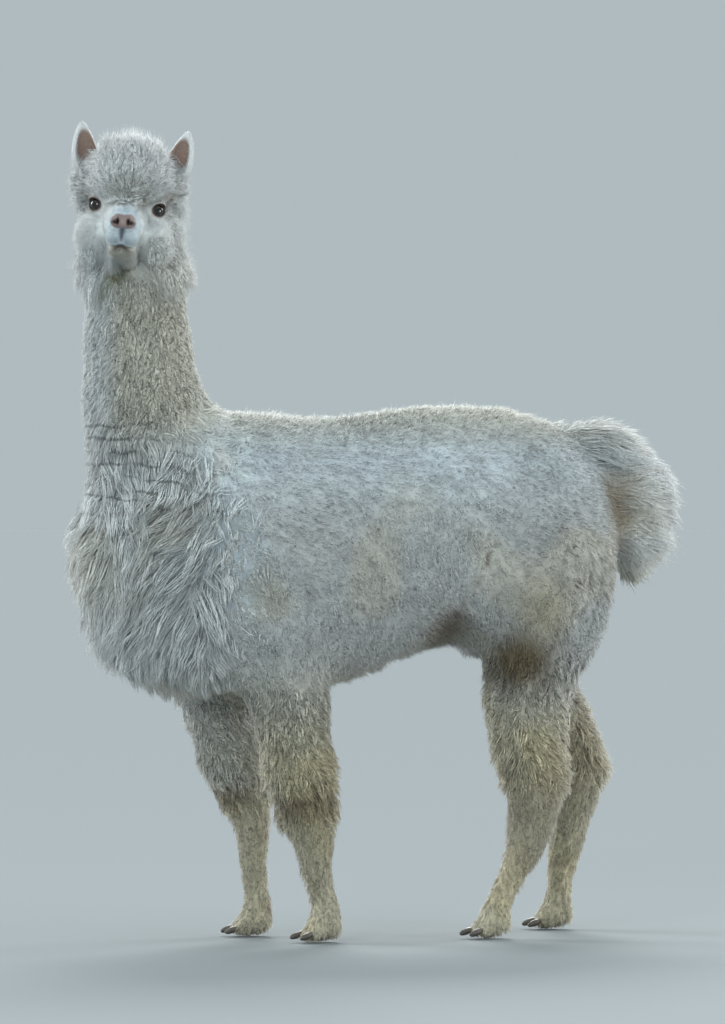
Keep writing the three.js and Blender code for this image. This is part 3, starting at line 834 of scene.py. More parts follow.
# The fold between belly and thigh on the left: its top and foot, its width and depth (m).
FOLD_TOP, FOLD_FOOT = (0.205, 0.168, 0.720), (0.185, 0.104, 0.575)
FOLD_WIDTH, FOLD_DEPTH = 0.020, 0.027


def flank_folds(mesh):
    """The hollow between belly and thigh, on both sides."""
    points = coords(mesh)
    for side in (1, -1):
        start, end = ((side * at[0], *at[1:]) for at in (FOLD_TOP, FOLD_FOOT))
        folded(points, start, end, FOLD_WIDTH, FOLD_DEPTH)
    mesh.vertices.foreach_set("co", points.ravel())


# How far the flesh solids swell to meet, and the voxel that makes one surface of them (m).
MEET, VOXEL = 0.0012, 0.009


def body_under_coat(tree, owner):
    """The body's surface, sunk below the fleece by the coat's depth."""
    body = remeshed(grown_copy("body shell", [*BODY_PARTS, "head"], MEET), VOXEL)
    relaxed(body.data, 5)
    points = coords(body.data)
    depth = spread_over(body.data, coat_depth(points, labels_at(points, tree, owner)), 12)
    normal = normals_of(body.data)
    for axis in range(3):
        normal[:, axis] = spread_over(body.data, normal[:, axis], 3)
    points -= unit(normal) * depth[:, None]
    points[:, 2] = np.maximum(points[:, 2], 0.0012)
    body.data.vertices.foreach_set("co", points.ravel())
    relaxed(body.data, 4)
    flank_folds(body.data)
    return body


def make_skin(wool, face):
    """Body and head as one surface, with the coat's markings, the face's colours and its unwrap."""
    outer = remeshed(grown_copy("outer form", [*BODY_PARTS, *HEAD_PARTS], MEET), VOXEL)
    relaxed(outer.data, 3)
    flank_folds(outer.data)
    tree, owner = node_tree()
    skin = combined(body_under_coat(tree, owner), head_shell(face), "UNION")
    skin.name = "skin"
    bm = bmesh.new()
    bm.from_mesh(skin.data)
    bmesh.ops.triangulate(bm, faces=bm.faces)
    bm.to_mesh(skin.data)
    bm.free()
    smooth_shaded(skin.data)
    skin.data.name = "skin"
    points = coords(skin.data)
    form = BVHTree.FromObject(outer, bpy.context.evaluated_depsgraph_get())
    label = labels_at(points, tree, owner)
    SHARED["outer"] = form
    SHARED["label"] = label
    SHARED["reach"] = np.array([form.find_nearest(Vector(p))[3] for p in points])
    painted(skin, points, label, wool)
    unwrapped(skin)
    skin.data.materials.clear()
    skin.data.polygons.foreach_set("material_index", np.zeros(len(skin.data.polygons), np.int32))
    bpy.data.objects.remove(outer)
    return skin


def painted(skin, points, label, wool):
    """The coat's markings on the skin, with painted shade beneath the coat and darker between the
    locks, and the face's colours.
    """
    colour = markings(points, wool)
    bare = np.zeros(len(points))
    on_body = ~np.isin(label, HEAD_PARTS + EARS)
    wool_gap = np.isin(label, HEAD_PARTS) * (1 - face_share(to_head(points)))
    # Painted shade: the skin darker beneath the coat, more under the head's wool and in the partings.
    colour *= (0.9 - 0.35 * wool_gap - 0.5 * on_body * partings(points, label)[0])[:, None]
    face_colours(to_head(points), into_head(normals_of(skin.data)), colour, bare)
    set_tint(skin.data, colour)
    layer = skin.data.attributes.new("bare", "FLOAT", "POINT")
    layer.data.foreach_set("value", bare.astype(np.float32))


# ---------------------------------------------------------------- coat

def skin_samples(skin):
    """The skin's triangles as arrays: corners, normals, unwrap, label and reach."""
    mesh = skin.data
    tri = np.empty(len(mesh.polygons) * 3, np.int32)
    mesh.polygons.foreach_get("vertices", tri)
    tri = tri.reshape(-1, 3)
    points, normal = coords(mesh), normals_of(mesh)
    uv = np.empty(len(mesh.loops) * 2)
    mesh.uv_layers["OFBake"].data.foreach_get("uv", uv)
    uv = uv.reshape(-1, 3, 2)
    a, b, c = (points[tri[:, i]] for i in range(3))
    area = np.linalg.norm(np.cross(b - a, c - a), axis=1) / 2
    return {
        "tri": tri, "points": points, "normal": normal, "uv": uv, "area": area,
        "middle": (a + b + c) / 3, "label": SHARED["label"][tri[:, 0]], "reach": SHARED["reach"],
    }


def roots_on(skin, chosen, count, rng, weight=None):
    """Random roots over the chosen triangles, evenly by area unless weight says otherwise."""
    at = np.flatnonzero(chosen)
    share = skin["area"][at] * (1 if weight is None else weight[at])
    pick = at[np.searchsorted(np.cumsum(share) / share.sum(), rng.random(count))]
    r1, r2 = np.sqrt(rng.random(count)), rng.random(count)
    w = np.stack([1 - r1, r1 * (1 - r2), r1 * r2], 1)
    tri = skin["tri"][pick]

    def mixed(values):
        return (values[tri] * w.reshape(count, 3, *[1] * (values.ndim - 1))).sum(1)

    return {
        "p": mixed(skin["points"]), "n": unit(mixed(skin["normal"])), "reach": mixed(skin["reach"]),
        "uv": (skin["uv"][pick] * w[:, :, None]).sum(1), "label": skin["label"][pick],
    }


def along_surface(way, normal):
    way = way - (way * normal).sum(1, keepdims=True) * normal
    return unit(way)


def turned(way, normal, angle):
    return way * np.cos(angle)[:, None] + np.cross(normal, way) * np.sin(angle)[:, None]


# Painted shade and light along a lock: darker at its root, deep in the coat, lighter up its rings and
# at its tip.
RING_SHADES = (0.84, 0.96, 1.01)
TIP_SHADE = 1.05


def lock_pattern(levels):
    """One lock's faces and their places in its patch: its sides, its point and its closed root."""
    last = 3 * (levels - 1)
    cell = PATCH / 3
    faces, places = [], []
    for k in range(levels):
        low, high = k / levels * PATCH, (k + 1) / levels * PATCH
        for i in range(3):
            left, right = 3 * k + i, 3 * k + (i + 1) % 3
            start, end = i * cell, (i + 1) * cell
            if k < levels - 1:
                faces.append((left, right, right + 3, left + 3))
                places += [(start, low), (end, low), (end, high), (start, high)]
            else:
                faces.append((left, right, last + 3))
                places += [(start, low), (end, low), ((i + 0.5) * cell, PATCH)]
    faces.append((2, 1, 0))
    places += [(2 * cell, 0.0), (cell, 0.0), (1.5 * cell, -0.1 * PATCH)]
    return faces, np.array(places) - PATCH / 2


def lock_rings(spine, tip, width, facing, lean, turn):
    """Three corners round each point of the spines, then the tips, with the way each is shaded."""
    rings, shading = [], []
    for level, centre in enumerate(spine):
        after = spine[level + 1] if level + 1 < len(spine) else tip
        way = unit(after - (centre if level == 0 else spine[level - 1]))
        side = unit(np.cross(way, np.where(np.abs(way[:, 2:]) < 0.8, [[0, 0, 1.0]], [[1.0, 0, 0]])))
        up = np.cross(way, side)
        wide = width * TAPER ** level
        for corner in range(3):
            angle = turn + corner * math.tau / 3
            offset = side * np.cos(angle)[:, None] * 1.2 + up * np.sin(angle)[:, None] * 0.7
            rings.append(centre + offset * (wide / 2)[:, None])
            shading.append(unit(lean * facing + (1 - lean) * unit(offset)))
    shading.append(unit(facing + 0.3 * way))
    return np.stack([*rings, tip], 1), np.stack(shading, 1)


def strand_mesh(name, spine, tip, width, tint, uv, turn, facing, lean, root_shade):
    """Closed, three-sided, pointed locks as one mesh, each along its spine from root to tip.

    Their shading leans towards the way the skin faces, as dense wool's does.
    """
    verts, shading = lock_rings(spine, tip, width, facing, lean, turn)
    count, per = verts.shape[:2]
    faces, places = lock_pattern(len(spine))
    pattern = [i for face in faces for i in face]
    sizes = [len(face) for face in faces]
    mesh = bpy.data.meshes.new(name)
    mesh.vertices.add(count * per)
    mesh.vertices.foreach_set("co", verts.astype(np.float32).ravel())
    loops = (np.array(pattern)[None] + (np.arange(count) * per)[:, None]).astype(np.int32)
    mesh.loops.add(loops.size)
    mesh.loops.foreach_set("vertex_index", loops.ravel())
    starts = np.concatenate([[0], np.cumsum(sizes)[:-1]])
    mesh.polygons.add(count * len(sizes))
    all_starts = (starts[None] + (np.arange(count) * len(pattern))[:, None]).astype(np.int32)
    mesh.polygons.foreach_set("loop_start", all_starts.ravel())
    mesh.update(calc_edges=True)
    layer = mesh.uv_layers.new(name="OFBake")
    middle = np.clip(uv, PATCH, 1 - PATCH)
    layer.data.foreach_set("uv", (middle[:, None] + places[None]).astype(np.float32).ravel())
    # Painted shade at the roots and painted light at the tips; root_shade darkens each root ring more.
    shade = np.array([s for s in RING_SHADES[:len(spine)] for _ in range(3)] + [TIP_SHADE])
    colour = tint[:, None] * shade[None, :, None]
    colour[:, :3] *= root_shade[:, None, None]
    set_tint(mesh, np.clip(colour.reshape(-1, 3), 0, 0.97))
    smooth_shaded(mesh)
    mesh.normals_split_custom_set_from_vertices(shading.reshape(-1, 3))
    return mesh


def combed(p, n, label):
    """The lie of the coat at each root: its direction along the skin and how much it stands."""
    x, y, z = p.T
    q = to_head(p)
    side = np.sign(x)
    count = len(p)
    # Down and back on the flanks, back along the spine, down and forwards on the chest.
    way = np.stack([0.15 * side, np.full(count, 0.55), np.full(count, -0.80)], 1)
    lift = np.full(count, 0.62)
    top = smooth(0.55, 0.95, n[:, 2])[:, None]
    way = way + top * (np.stack([0.5 * side, np.full(count, 0.6), -0.2 * np.ones(count)], 1) - way)
    chest = (smooth(-0.30, -0.42, y) * smooth(0.94, 0.86, z) * smooth(0.42, 0.56, z))[:, None]
    way = way + chest * (np.array([0.0, -0.45, -1.0]) - way)
    lift = lift - 0.18 * chest[:, 0]
    neck = label == "neck"
    way[neck] = (0.0, 0.05, -1.0)
    lift[neck] = 0.60
    leg = np.char.find(label, "leg_") > 0
    way[leg] = (0.0, 0.12, -1.0)
    lift[leg] = 0.34
    lift[np.char.endswith(label, "_upper")] = 0.52
    tail = label == "tail"
    hanging = smooth(0.73, 0.63, z[tail])[:, None]
    way[tail] = np.array([0.0, 1.0, -0.18]) * (1 - hanging) + np.array([0.0, 0.15, -1.0]) * hanging
    lift[tail] = 0.38
    head = np.isin(label, HEAD_PARTS)
    if head.any():
        way[head], lift[head] = combed_head(q[head])
    ear = np.isin(label, EARS)
    if ear.any():
        along = np.stack([0.15 * np.sign(q[ear][:, 0]), np.full(ear.sum(), 0.1), np.ones(ear.sum())], 1)
        way[ear] = from_head(along)
        lift[ear] = 0.46
    return along_surface(way, n), lift


def combed_head(h):
    """The lie of the head's wool and hair: up in a crest, down over the cheeks, back from the nose."""
    side = np.sign(h[:, 0])
    rise = smooth(64, 92, h[:, 2])[:, None]
    fan = h - [0, -40, 0]
    crest = np.stack([h[:, 0] / 260, 0.12 + 0 * h[:, 1], np.full(len(h), 1.0)], 1)
    local = unit(fan) * (1 - rise) + unit(crest) * rise
    face = face_share(h)[:, None]
    cheek = (smooth(12, -10, h[:, 2]) * (1 - face[:, 0]))[:, None]
    outward = np.stack([0.3 * side, np.full(len(h), 0.35), np.full(len(h), -1.0)], 1)
    local = local + cheek * (outward - local)
    temple = (smooth(46, 60, np.abs(h[:, 0])) * smooth(-6, 14, h[:, 2]))[:, None]
    sideways = np.stack([side, np.zeros(len(h)), np.full(len(h), -0.40)], 1)
    local = local + temple * (sideways - local)
    for eye_side in (1, -1):
        off = h - [eye_side * 58, -4, 0]
        near = np.exp(-((off / 30) ** 2).sum(1))[:, None]
        local = local + 1.6 * near * unit(off)
    from_nose = unit(h - [0, -132, -36])
    local = local + face * (from_nose - local)
    stand = 0.45 + 0.42 * smooth(50, 88, h[:, 2]) + 0.15 * temple[:, 0]
    return from_head(local), stand * (1 - face[:, 0]) + 0.30 * face[:, 0]


def face_share(q):
    """1 on the short hair of the face, 0 in the wool of the crown and cheeks."""
    wide, y, z = np.abs(q[:, 0]), q[:, 1], q[:, 2]
    cheek = smooth(-40, -56, z) * smooth(33, 45, wide)
    muzzle = smooth(-10, -34, y) * smooth(9, -7, z + 0.45 * wide) * smooth(-97, -86, z) * (1 - cheek)
    between = smooth(8, -8, y) * smooth(10, -3, z) * smooth(52, 40, wide)
    centre = np.array([58, -4, -2])
    eyes = smooth(40, 24, np.hypot(np.hypot(wide - centre[0], y - centre[1]), 1.25 * (z - centre[2])))
    limit = 12 - 0.35 * np.clip(q[:, 0], -60, 0)
    woolly = -62 + 0.27 * np.clip(q[:, 0], -60, 60)
    under = smooth(0, -18, z) * smooth(limit + 12, limit - 14, y) * smooth(woolly - 9, woolly + 9, z)
    return np.clip(np.maximum.reduce([muzzle, between, eyes, under]), 0, 1)


def at_eye(q, scale=1.0):
    """True in the openings of the lids, where nothing grows."""
    hit = np.zeros(len(q), bool)
    for side in (1, -1):
        _, ahead, across, up = from_eye(q, side)
        ring = np.hypot(across / LID_OPENING[0], up / LID_OPENING[1])
        hit |= (ring < scale) & (ahead > 6) & (ahead < 60)
    return hit


def bare_place(q):
    """True on the nose leather and in the mouth."""
    x, y, z = q.T
    leather = (np.hypot(x / 25.5, (z + 28.5) / 13.5) < 1.0) & (y < -74)
    mouth = (np.abs(z - mouth_height(x)) < 2.2) & (np.abs(x) < 26) & (y < -74)
    cleft = (np.abs(x) < 4) & (z < -38) & (z > -70) & (y < -74)
    return leather | mouth | cleft


def reach_at(q, label, reach):
    """How far the coat stands off the skin at each root, in metres."""
    reach = np.clip(reach, 0.003, 0.075)
    face = face_share(q)
    wide = np.abs(q[:, 0])
    short = 0.0022 + 0.004 * smooth(-60, 0, q[:, 1])
    full_jaw = 1 - 0.10 * smooth(-68, -108, q[:, 2])
    tufts = 0.30 * np.exp(-((wide - 46) / 18) ** 2) - 0.10 * np.exp(-(q[:, 0] / 26) ** 2)
    full = 1 + smooth(58, 88, q[:, 2]) * tufts
    woolly = reach * full * full_jaw * (1 - face) + short * face
    reach = np.where(np.isin(label, HEAD_PARTS), woolly, reach)
    return np.where(np.isin(label, EARS), 0.0055 + 0.004 * smooth(30, -50, q[:, 2] - 90), reach)


def hanging_more(p, q, label):
    """What the fringe below the chest and knees, and the beard, add to the coat's reach (m)."""
    fringe = 0.020 * (label == "trunk") * smooth(-0.30, -0.38, p[:, 1]) * smooth(0.66, 0.56, p[:, 2])
    fringe += 0.006 * np.char.endswith(label, "_upper") * smooth(0.40, 0.30, p[:, 2])
    beard = 0.012 * np.isin(label, HEAD_PARTS) * smooth(-72, -94, q[:, 2]) * smooth(-74, -50, q[:, 1])
    return beard, fringe


def longest(q, on_head):
    """The longest a lock may be (m): short over the brow, so that the eyes stay clear."""
    brow = smooth(50, 28, q[:, 2]) * smooth(-44, -24, q[:, 2]) * smooth(26, 4, q[:, 1])
    brow *= smooth(68, 52, np.abs(q[:, 0])) * on_head
    return 0.090 - 0.066 * brow


def partings(p, label):
    """Where the fleece opens: how dark each root is painted, as shade in the opening, and how much of
    its length it keeps.
    """
    cleft = 0.45 * smooth(0.12, 0.02, np.abs(wander(p, 0.040, 31)))
    neck = 0.75 * smooth(0.16, 0.03, np.abs(wander(p * [1.0, 1.0, 0.42], 0.026, 32)))
    dark = np.where(label == "neck", neck, cleft)
    return dark, 1 - 0.62 * dark


def gathered(p, clump, rng):
    """For each root, the root that leads its clump."""
    leaders = rng.choice(len(p), max(len(p) // clump, 1), replace=False)
    tree = KDTree(len(leaders))
    for i, at in enumerate(leaders):
        tree.insert(Vector(p[at]), i)
    tree.balance()
    return leaders[[tree.find(Vector(v))[1] for v in p]]


def lock_colours(p, q, n, on_head, dark, wool):
    """The markings at each root, with painted shade in the partings, and the face's colours on the
    head.
    """
    tint = markings(p, wool) * (1 - 0.22 * dark)[:, None]
    if on_head.any():
        shades = tint[on_head]
        face_colours(q[on_head], into_head(n[on_head]), shades, np.zeros(len(shades)), cups=False)
        tint[on_head] = shades
    return tint


def bent_locks(p, n, way, lift, height, limit, led_by, lock, rng):
    """Locks that leave the skin and bend over, drawn to their leaders: foot, middle, end, side."""
    count = len(p)
    stray_way = unit(rng.normal(size=(count, 3)))
    own = unit(way + lock.stray * stray_way)
    first = unit(n * lift[:, None] + own * (1 - lift)[:, None])
    over = OUTER_STAND * lift
    second = unit(n * over[:, None] + own * (1 - over)[:, None] + [0, 0, -SAG])
    rise = (((first + second) / 2) * n).sum(1)
    share = np.clip(rng.normal(1.0, lock.jitter, count), 0.5, 1.25)
    long = np.minimum(height * share / np.maximum(rise, LEAST_RISE), limit)
    foot = p - n * ROOT_DEPTH
    mid = foot + first * (long * 0.5)[:, None]
    end = mid + second * (long * 0.5)[:, None]
    hold = np.clip(rng.normal(lock.pull, 0.18, count), 0, 0.95)[:, None]
    mid = mid + (mid[led_by] - mid) * hold * MIDDLE_PULL
    end = end + (end[led_by] - end) * hold
    return foot, mid, end, unit(np.cross(stray_way[led_by], first))


def held_in(foot, mid, end, allowed, length_kept):
    """Shortens the locks in partings, and those that stand past the outer form by more than allowed."""
    found = [SHARED["outer"].find_nearest(Vector(v)) for v in end]
    over = np.array([(Vector(v) - f[0]).dot(f[1]) for v, f in zip(end, found)]) - allowed
    long = np.linalg.norm(end - foot, axis=1)
    kept = (np.clip(1 - 1.15 * np.maximum(over, 0) / long, 0.4, 1) * length_kept)[:, None]
    return foot + (mid - foot) * kept, foot + (end - foot) * kept, long


def curled(foot, mid, end, side, size, rings):
    """The places of each lock's rings and its end, curled to one side and back, within the room."""
    mid = mid + side * size
    end = end - side * size * 0.6
    middles = [mid] * rings
    if rings == 2:
        middles = [
            foot + (mid - foot) * 0.55 + side * size * 0.5,
            mid + (end - mid) * 0.45 - side * size * 0.9,
        ]
    for point in [*middles, end]:
        np.clip(point, ROOM[0], ROOM[1], out=point)
    return middles, end


# How one piece of the coat grows, unless its row says otherwise. Metres: width of a lock, height
# of its curl, spare reach past the outer form, and wisp, how far single tips may pass that. Shares:
# pull towards the clump's leader, jitter of length, stray from the lie, lean of the shading towards
# the skin's, tone from lock to lock, and deep, how dark the roots are painted as shade in the coat.
# Clump is roots to a leader, rings the rings along a lock, and stand its lift where that is even.
USUAL = dict(
    rings=0, width=0.0027, clump=8, pull=0.52, curl=0.0025, stand=None, spare=0.0,
    jitter=0.16, stray=0.22, lean=0.58, tone=0.03, wisp=0.004, deep=0.0,
)


def grow(name, skin, chosen, count, rng, wool, weight=None, **ways):
    """One piece of the coat over the chosen part of the skin, denser where the weight is high."""
    lock = SimpleNamespace(**{**USUAL, **ways})
    r = roots_on(skin, chosen, count, rng, weight)
    q = to_head(r["p"])
    keep = ~(np.isin(r["label"], HEAD_PARTS) & (at_eye(q) | bare_place(q)))
    p, n, q, label, uv, reach = (v[keep] for v in (r["p"], r["n"], q, r["label"], r["uv"], r["reach"]))
    count = len(p)
    on_head = np.isin(label, HEAD_PARTS + EARS)
    way, lift = combed(p, n, label)
    if lock.stand is not None:
        lift = np.full(count, lock.stand)
    swirl = wool.swirl * (0.75 * wander(p, 0.19, 21) + 0.35 * wander(p, 0.055, 22))
    way = turned(way, n, swirl * np.where(label == "neck", 0.5, 1.0))
    beard, fringe = hanging_more(p, q, label)
    height = reach_at(q, label, reach) + lock.spare + beard + fringe
    height *= 1 + 0.10 * wander(p, 0.035, 23)
    dark, length_kept = partings(p, label)
    dark = np.where(on_head, 0, dark)
    length_kept = np.where(on_head, 1, length_kept)
    tint = lock_colours(p, q, n, on_head, dark, wool)
    led_by = gathered(p, lock.clump, rng)
    clump_tone = rng.normal(1, lock.tone, count)[led_by]
    tint = tint * (clump_tone * rng.normal(1, lock.tone, count))[:, None]

    limit = longest(q, on_head)
    foot, mid, end, side = bent_locks(p, n, way, lift, height, limit, led_by, lock, rng)
    allowed = STAND_PROUD + lock.spare + beard + fringe
    allowed = allowed + lock.wisp * np.abs(rng.normal(size=count))
    mid, end, long = held_in(foot, mid, end, allowed, length_kept)
    size = np.minimum(lock.curl, long * CURL_SHARE)[:, None]
    middles, end = curled(foot, mid, end, side, size, lock.rings)
    width = lock.width * rng.uniform(0.7, 1.2, count)

    tip, half = to_head(end), to_head((foot + end) / 2)
    clear = ~(at_eye(tip, EYE_CLEAR) | at_eye(half, EYE_CLEAR) | bare_place(tip) | bare_place(half))
    spine = [point[clear] for point in (foot, *middles)]
    # Painted shade at the roots: darker by deep, and darker still in the partings.
    root_shade = (1 - lock.deep) * (1 - 0.72 * dark[clear])
    turn = rng.uniform(0, math.tau, len(spine[0]))
    obj = new_object(name, strand_mesh(
        name, spine, end[clear], width[clear], tint[clear], uv[clear],
        turn, n[clear], lock.lean, root_shade,
    ))
    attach(obj, "root")
    return obj


# The coat's wools: name, how far apart their cracks of painted shade are (m), how drawn out, how
# dark, and whether the painted breaks across throat and chest show in them.
WOOLS = {
    "fleece": ("fine fleece", 0.0082, (1.0, 2.2, 0.9), 0.42, False),
    "neck": ("neck fleece", 0.0095, (1.0, 1.0, 3.4), 0.20, True),
    "silk": ("long wool", 0.0080, (1.0, 1.2, 3.4), 0.66, True),
    "crown": ("crown wool", 0.0080, (1.0, 1.0, 1.2), 0.50, False),
    "legs": ("leg wool", 0.0095, (1.0, 1.0, 1.2), 0.42, False),
    "face": ("short hair", 0.0060, (1.0, 1.0, 1.0), 0.85, False),
}
# What several pieces share: the head's wool and its curled locks, chest, tail and loose hairs.
CRISP = dict(clump=9, lean=0.38, tone=0.08, stray=0.34, deep=0.42)
CURLED = dict(rings=1, pull=0.72, curl=0.005)
CHEST = dict(lean=0.45, tone=0.06, deep=0.3)
TAIL = dict(lean=0.7, tone=0.05)
LOOSE = dict(width=0.0009, clump=1, pull=0.0, jitter=0.15, stray=0.8, stand=0.75)


def coat_rows():
    """Each piece of the coat: its name, place, number of roots, wool, slot and how it grows."""
    rows = [
        ("topknot_locks", "crown", 9500, "crown", "fleece",
         dict(width=0.0023, wisp=0.020, spare=0.006, **CURLED, **CRISP)),
        ("topknot_wool", "crown", 21000, "crown", "fleece",
         dict(width=0.0018, pull=0.6, wisp=0.012, spare=0.003, **CRISP)),
        ("cheek_locks", "jowl", 6500, "crown", "fleece",
         dict(width=0.0028, wisp=0.006, **CURLED, **CRISP)),
        ("cheek_wool", "jowl", 11500, "crown", "fleece", dict(width=0.0018, pull=0.6, **CRISP)),
        ("face_hair", "face", 23000, "face", "face", dict(width=0.0008, pull=0.2)),
        ("ear_hair", "ear", 8500, "face", "ear_skin",
         dict(width=0.0012, pull=0.4, clump=5, wisp=0.005)),
        ("neck_front_locks", "throat", 2600, "silk", "fleece", dict(rings=1, width=0.0019, clump=6)),
        ("neck_front_wool", "throat", 7000, "silk", "fleece", dict(width=0.0016, clump=7)),
        ("neck_locks", "nape", 6400, "neck", "fleece", dict(rings=1, width=0.0021, clump=6, lean=0.5)),
        ("neck_wool", "nape", 14000, "neck", "fleece", dict(width=0.0017, clump=7, lean=0.5)),
        ("chest_locks", "chest", 5000, "silk", "fleece",
         dict(rings=2, width=0.0024, clump=16, pull=0.68, curl=0.006, wisp=0.018, spare=0.004,
              **CHEST)),
        ("chest_wool", "chest", 13000, "silk", "fleece",
         dict(width=0.0016, clump=14, pull=0.6, wisp=0.012, spare=0.003, **CHEST)),
        ("tail_locks", "tail", 3300, "silk", "fleece",
         dict(rings=2, width=0.0024, clump=14, curl=0.006, wisp=0.012, **TAIL)),
        ("tail_wool", "tail", 7500, "silk", "fleece", dict(width=0.0017, clump=10, wisp=0.010, **TAIL)),
    ]
    for side in ("left", "right"):
        rows += [
            (f"flank_{side}_locks", f"flank_{side}", 8800, "fleece", "fleece",
             dict(rings=1, width=0.0020, clump=4, pull=0.42, tone=0.02)),
            (f"flank_{side}_wool", f"flank_{side}", 22000, "fleece", "fleece",
             dict(width=0.0016, clump=5, pull=0.36, tone=0.02)),
        ]
    for leg in LEGS:
        rows += [
            (f"{leg}_locks", f"{leg}_upper", 2200, "legs", "leg_wool",
             dict(rings=1, width=0.0026, pull=0.7, curl=0.006, lean=0.38, tone=0.09, deep=0.4,
                  wisp=0.006)),
            (f"{leg}_wool", f"{leg}_upper", 5500, "legs", "leg_wool",
             dict(width=0.0018, stray=0.4, lean=0.40, tone=0.08, deep=0.3)),
            (f"{leg}_hair", f"{leg}_lower", 7000, "legs", "leg_wool",
             dict(width=0.0014, lean=0.5, tone=0.05)),
        ]
    return rows + [
        ("loose_fibres", "body", 11000, "silk", "fleece", dict(spare=0.006, **LOOSE)),
        ("head_fibres", "head", 6000, "crown", "fleece", dict(spare=0.017, **LOOSE)),
    ]


def coat_places(skin):
    """The skin's triangles that each place of the coat covers."""
    label, middle = skin["label"], skin["middle"]
    q = to_head(middle)
    x, y, z = middle.T
    face = face_share(q)
    head, ear, neck = np.isin(label, HEAD_PARTS), np.isin(label, EARS), label == "neck"
    short = head & (face >= 0.35)
    crown = head & (face < 0.5) & (q[:, 2] > 8)
    fray = 0.030 * wander(middle, 0.05, 51) + np.random.default_rng(51).normal(0, 0.028, len(middle))
    chest = (label == "trunk") & (y < -0.315 + fray) & (z > 0.42)
    trunk = (label == "trunk") & ~chest
    lower = np.char.endswith(label, "_shank") | np.char.endswith(label, "_foot")
    woolly = ~short & ~lower & ~ear
    places = {
        "crown": crown, "jowl": head & (face < 0.5) & ~crown, "face": short, "ear": ear,
        "throat": neck & (y < -0.515), "nape": neck & (y >= -0.515), "chest": chest,
        "flank_left": trunk & (x > 0), "flank_right": trunk & (x <= 0), "tail": label == "tail",
        "body": woolly & ~head, "head": woolly & head,
    }
    for leg in LEGS:
        mine = np.char.startswith(label, leg)
        places[f"{leg}_upper"] = mine & np.char.endswith(label, "_upper")
        places[f"{leg}_lower"] = mine & lower
    return places


def open_ears(skin):
    """How densely the ears are haired: thinly in their hollows."""
    q = to_head(skin["middle"])
    facing = into_head(skin["normal"][skin["tri"][:, 0]])
    cup = ear_cup(q, facing, 1)[0] + ear_cup(q, facing, -1)[0]
    return 1 - 0.94 * np.clip(cup, 0, 1)


# ---------------------------------------------------------------- settings

class CoatSettings(bpy.types.PropertyGroup):
    white: FloatVectorProperty(
        name="Wool", description="Colour of clean wool", subtype="COLOR", min=0, max=1,
        default=(0.855, 0.89, 0.885),
    )
    cream: FloatVectorProperty(
        name="Dusty wool", description="Colour of the duller wool of neck and legs", subtype="COLOR",
        min=0, max=1, default=(0.75, 0.66, 0.44),
    )
    swirl: FloatProperty(
        name="Swirl", description="How far the lie of the coat wanders", subtype="ANGLE",
        default=0.65, min=0, max=3,
    )
    amount: FloatProperty(
        name="Amount", description="Share of the full number of locks", subtype="FACTOR",
        default=1.0, min=0.05, max=1.1,
    )
    seed: IntProperty(name="Seed", description="Start of the random draws", default=7, min=0)


class HeadSettings(bpy.types.PropertyGroup):
    eye_radius: FloatProperty(name="Eyeball", description="Radius, mm", default=18.5, min=10, max=25)
    eye_width: FloatProperty(name="Eye width", description="Half the opening, mm", default=13.6)
    eye_height: FloatProperty(name="Eye height", description="Half the opening, mm", default=11.0)
    lid_thickness: FloatProperty(name="Lid", description="Thickness of the lids, mm", default=2.8)
    nostril_depth: FloatProperty(name="Nostril", description="Depth, mm", default=9.0)
    lip_cleft: FloatProperty(name="Lip cleft", description="Depth of the split lip, mm", default=3.6)
    mouth_depth: FloatProperty(name="Mouth", description="Depth of the line, mm", default=4.5)


class StudioSettings(bpy.types.PropertyGroup):
    floor: FloatVectorProperty(
        name="Floor", description="Colour of the floor", subtype="COLOR", min=0, max=1,
        default=(0.271, 0.291, 0.298),
    )
    backdrop: FloatVectorProperty(
        name="Backdrop", description="Colour behind the floor", subtype="COLOR", min=0, max=1,
        default=(0.43, 0.495, 0.52),
    )
    rim: FloatProperty(
        name="Back light", description="Power of the lights behind", default=74.0, unit="POWER",
    )
    key: FloatProperty(
        name="Front light", description="Power of the soft lights in front", default=55.0, unit="POWER",
    )
    lens: FloatProperty(name="Lens", description="Focal length", default=234.4, unit="CAMERA")


# ---------------------------------------------------------------- operators

class ALPACA_OT_skin(bpy.types.Operator):
    """Makes the skin: body, head, ears, lids, nose and mouth in one surface"""
    bl_idname = "alpaca.skin"
    bl_label = "Skin"

    def execute(self, context):
        skin = make_skin(context.scene.alpaca_coat, context.scene.alpaca_head)
        skin.data.materials.append(skin_material())
        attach(skin, "root")
        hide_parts(*HEAD_PARTS, *EARS, *BODY_PARTS)
        return {"FINISHED"}


# The eye in millimetres: the cornea's bulge and width, the iris's edge, half the level pupil.
CORNEA_BULGE, CORNEA_WIDTH = 1.6, 10.0
IRIS_OUTSIDE, IRIS_INSIDE = 12.8, 11.8
PUPIL_WIDTH, PUPIL_HEIGHT = 8.0, 4.2
BALL_TONE, IRIS_TONE, PUPIL_TONE = (0.016, 0.011, 0.009), (0.009, 0.005, 0.004), (0.004, 0.004, 0.005)


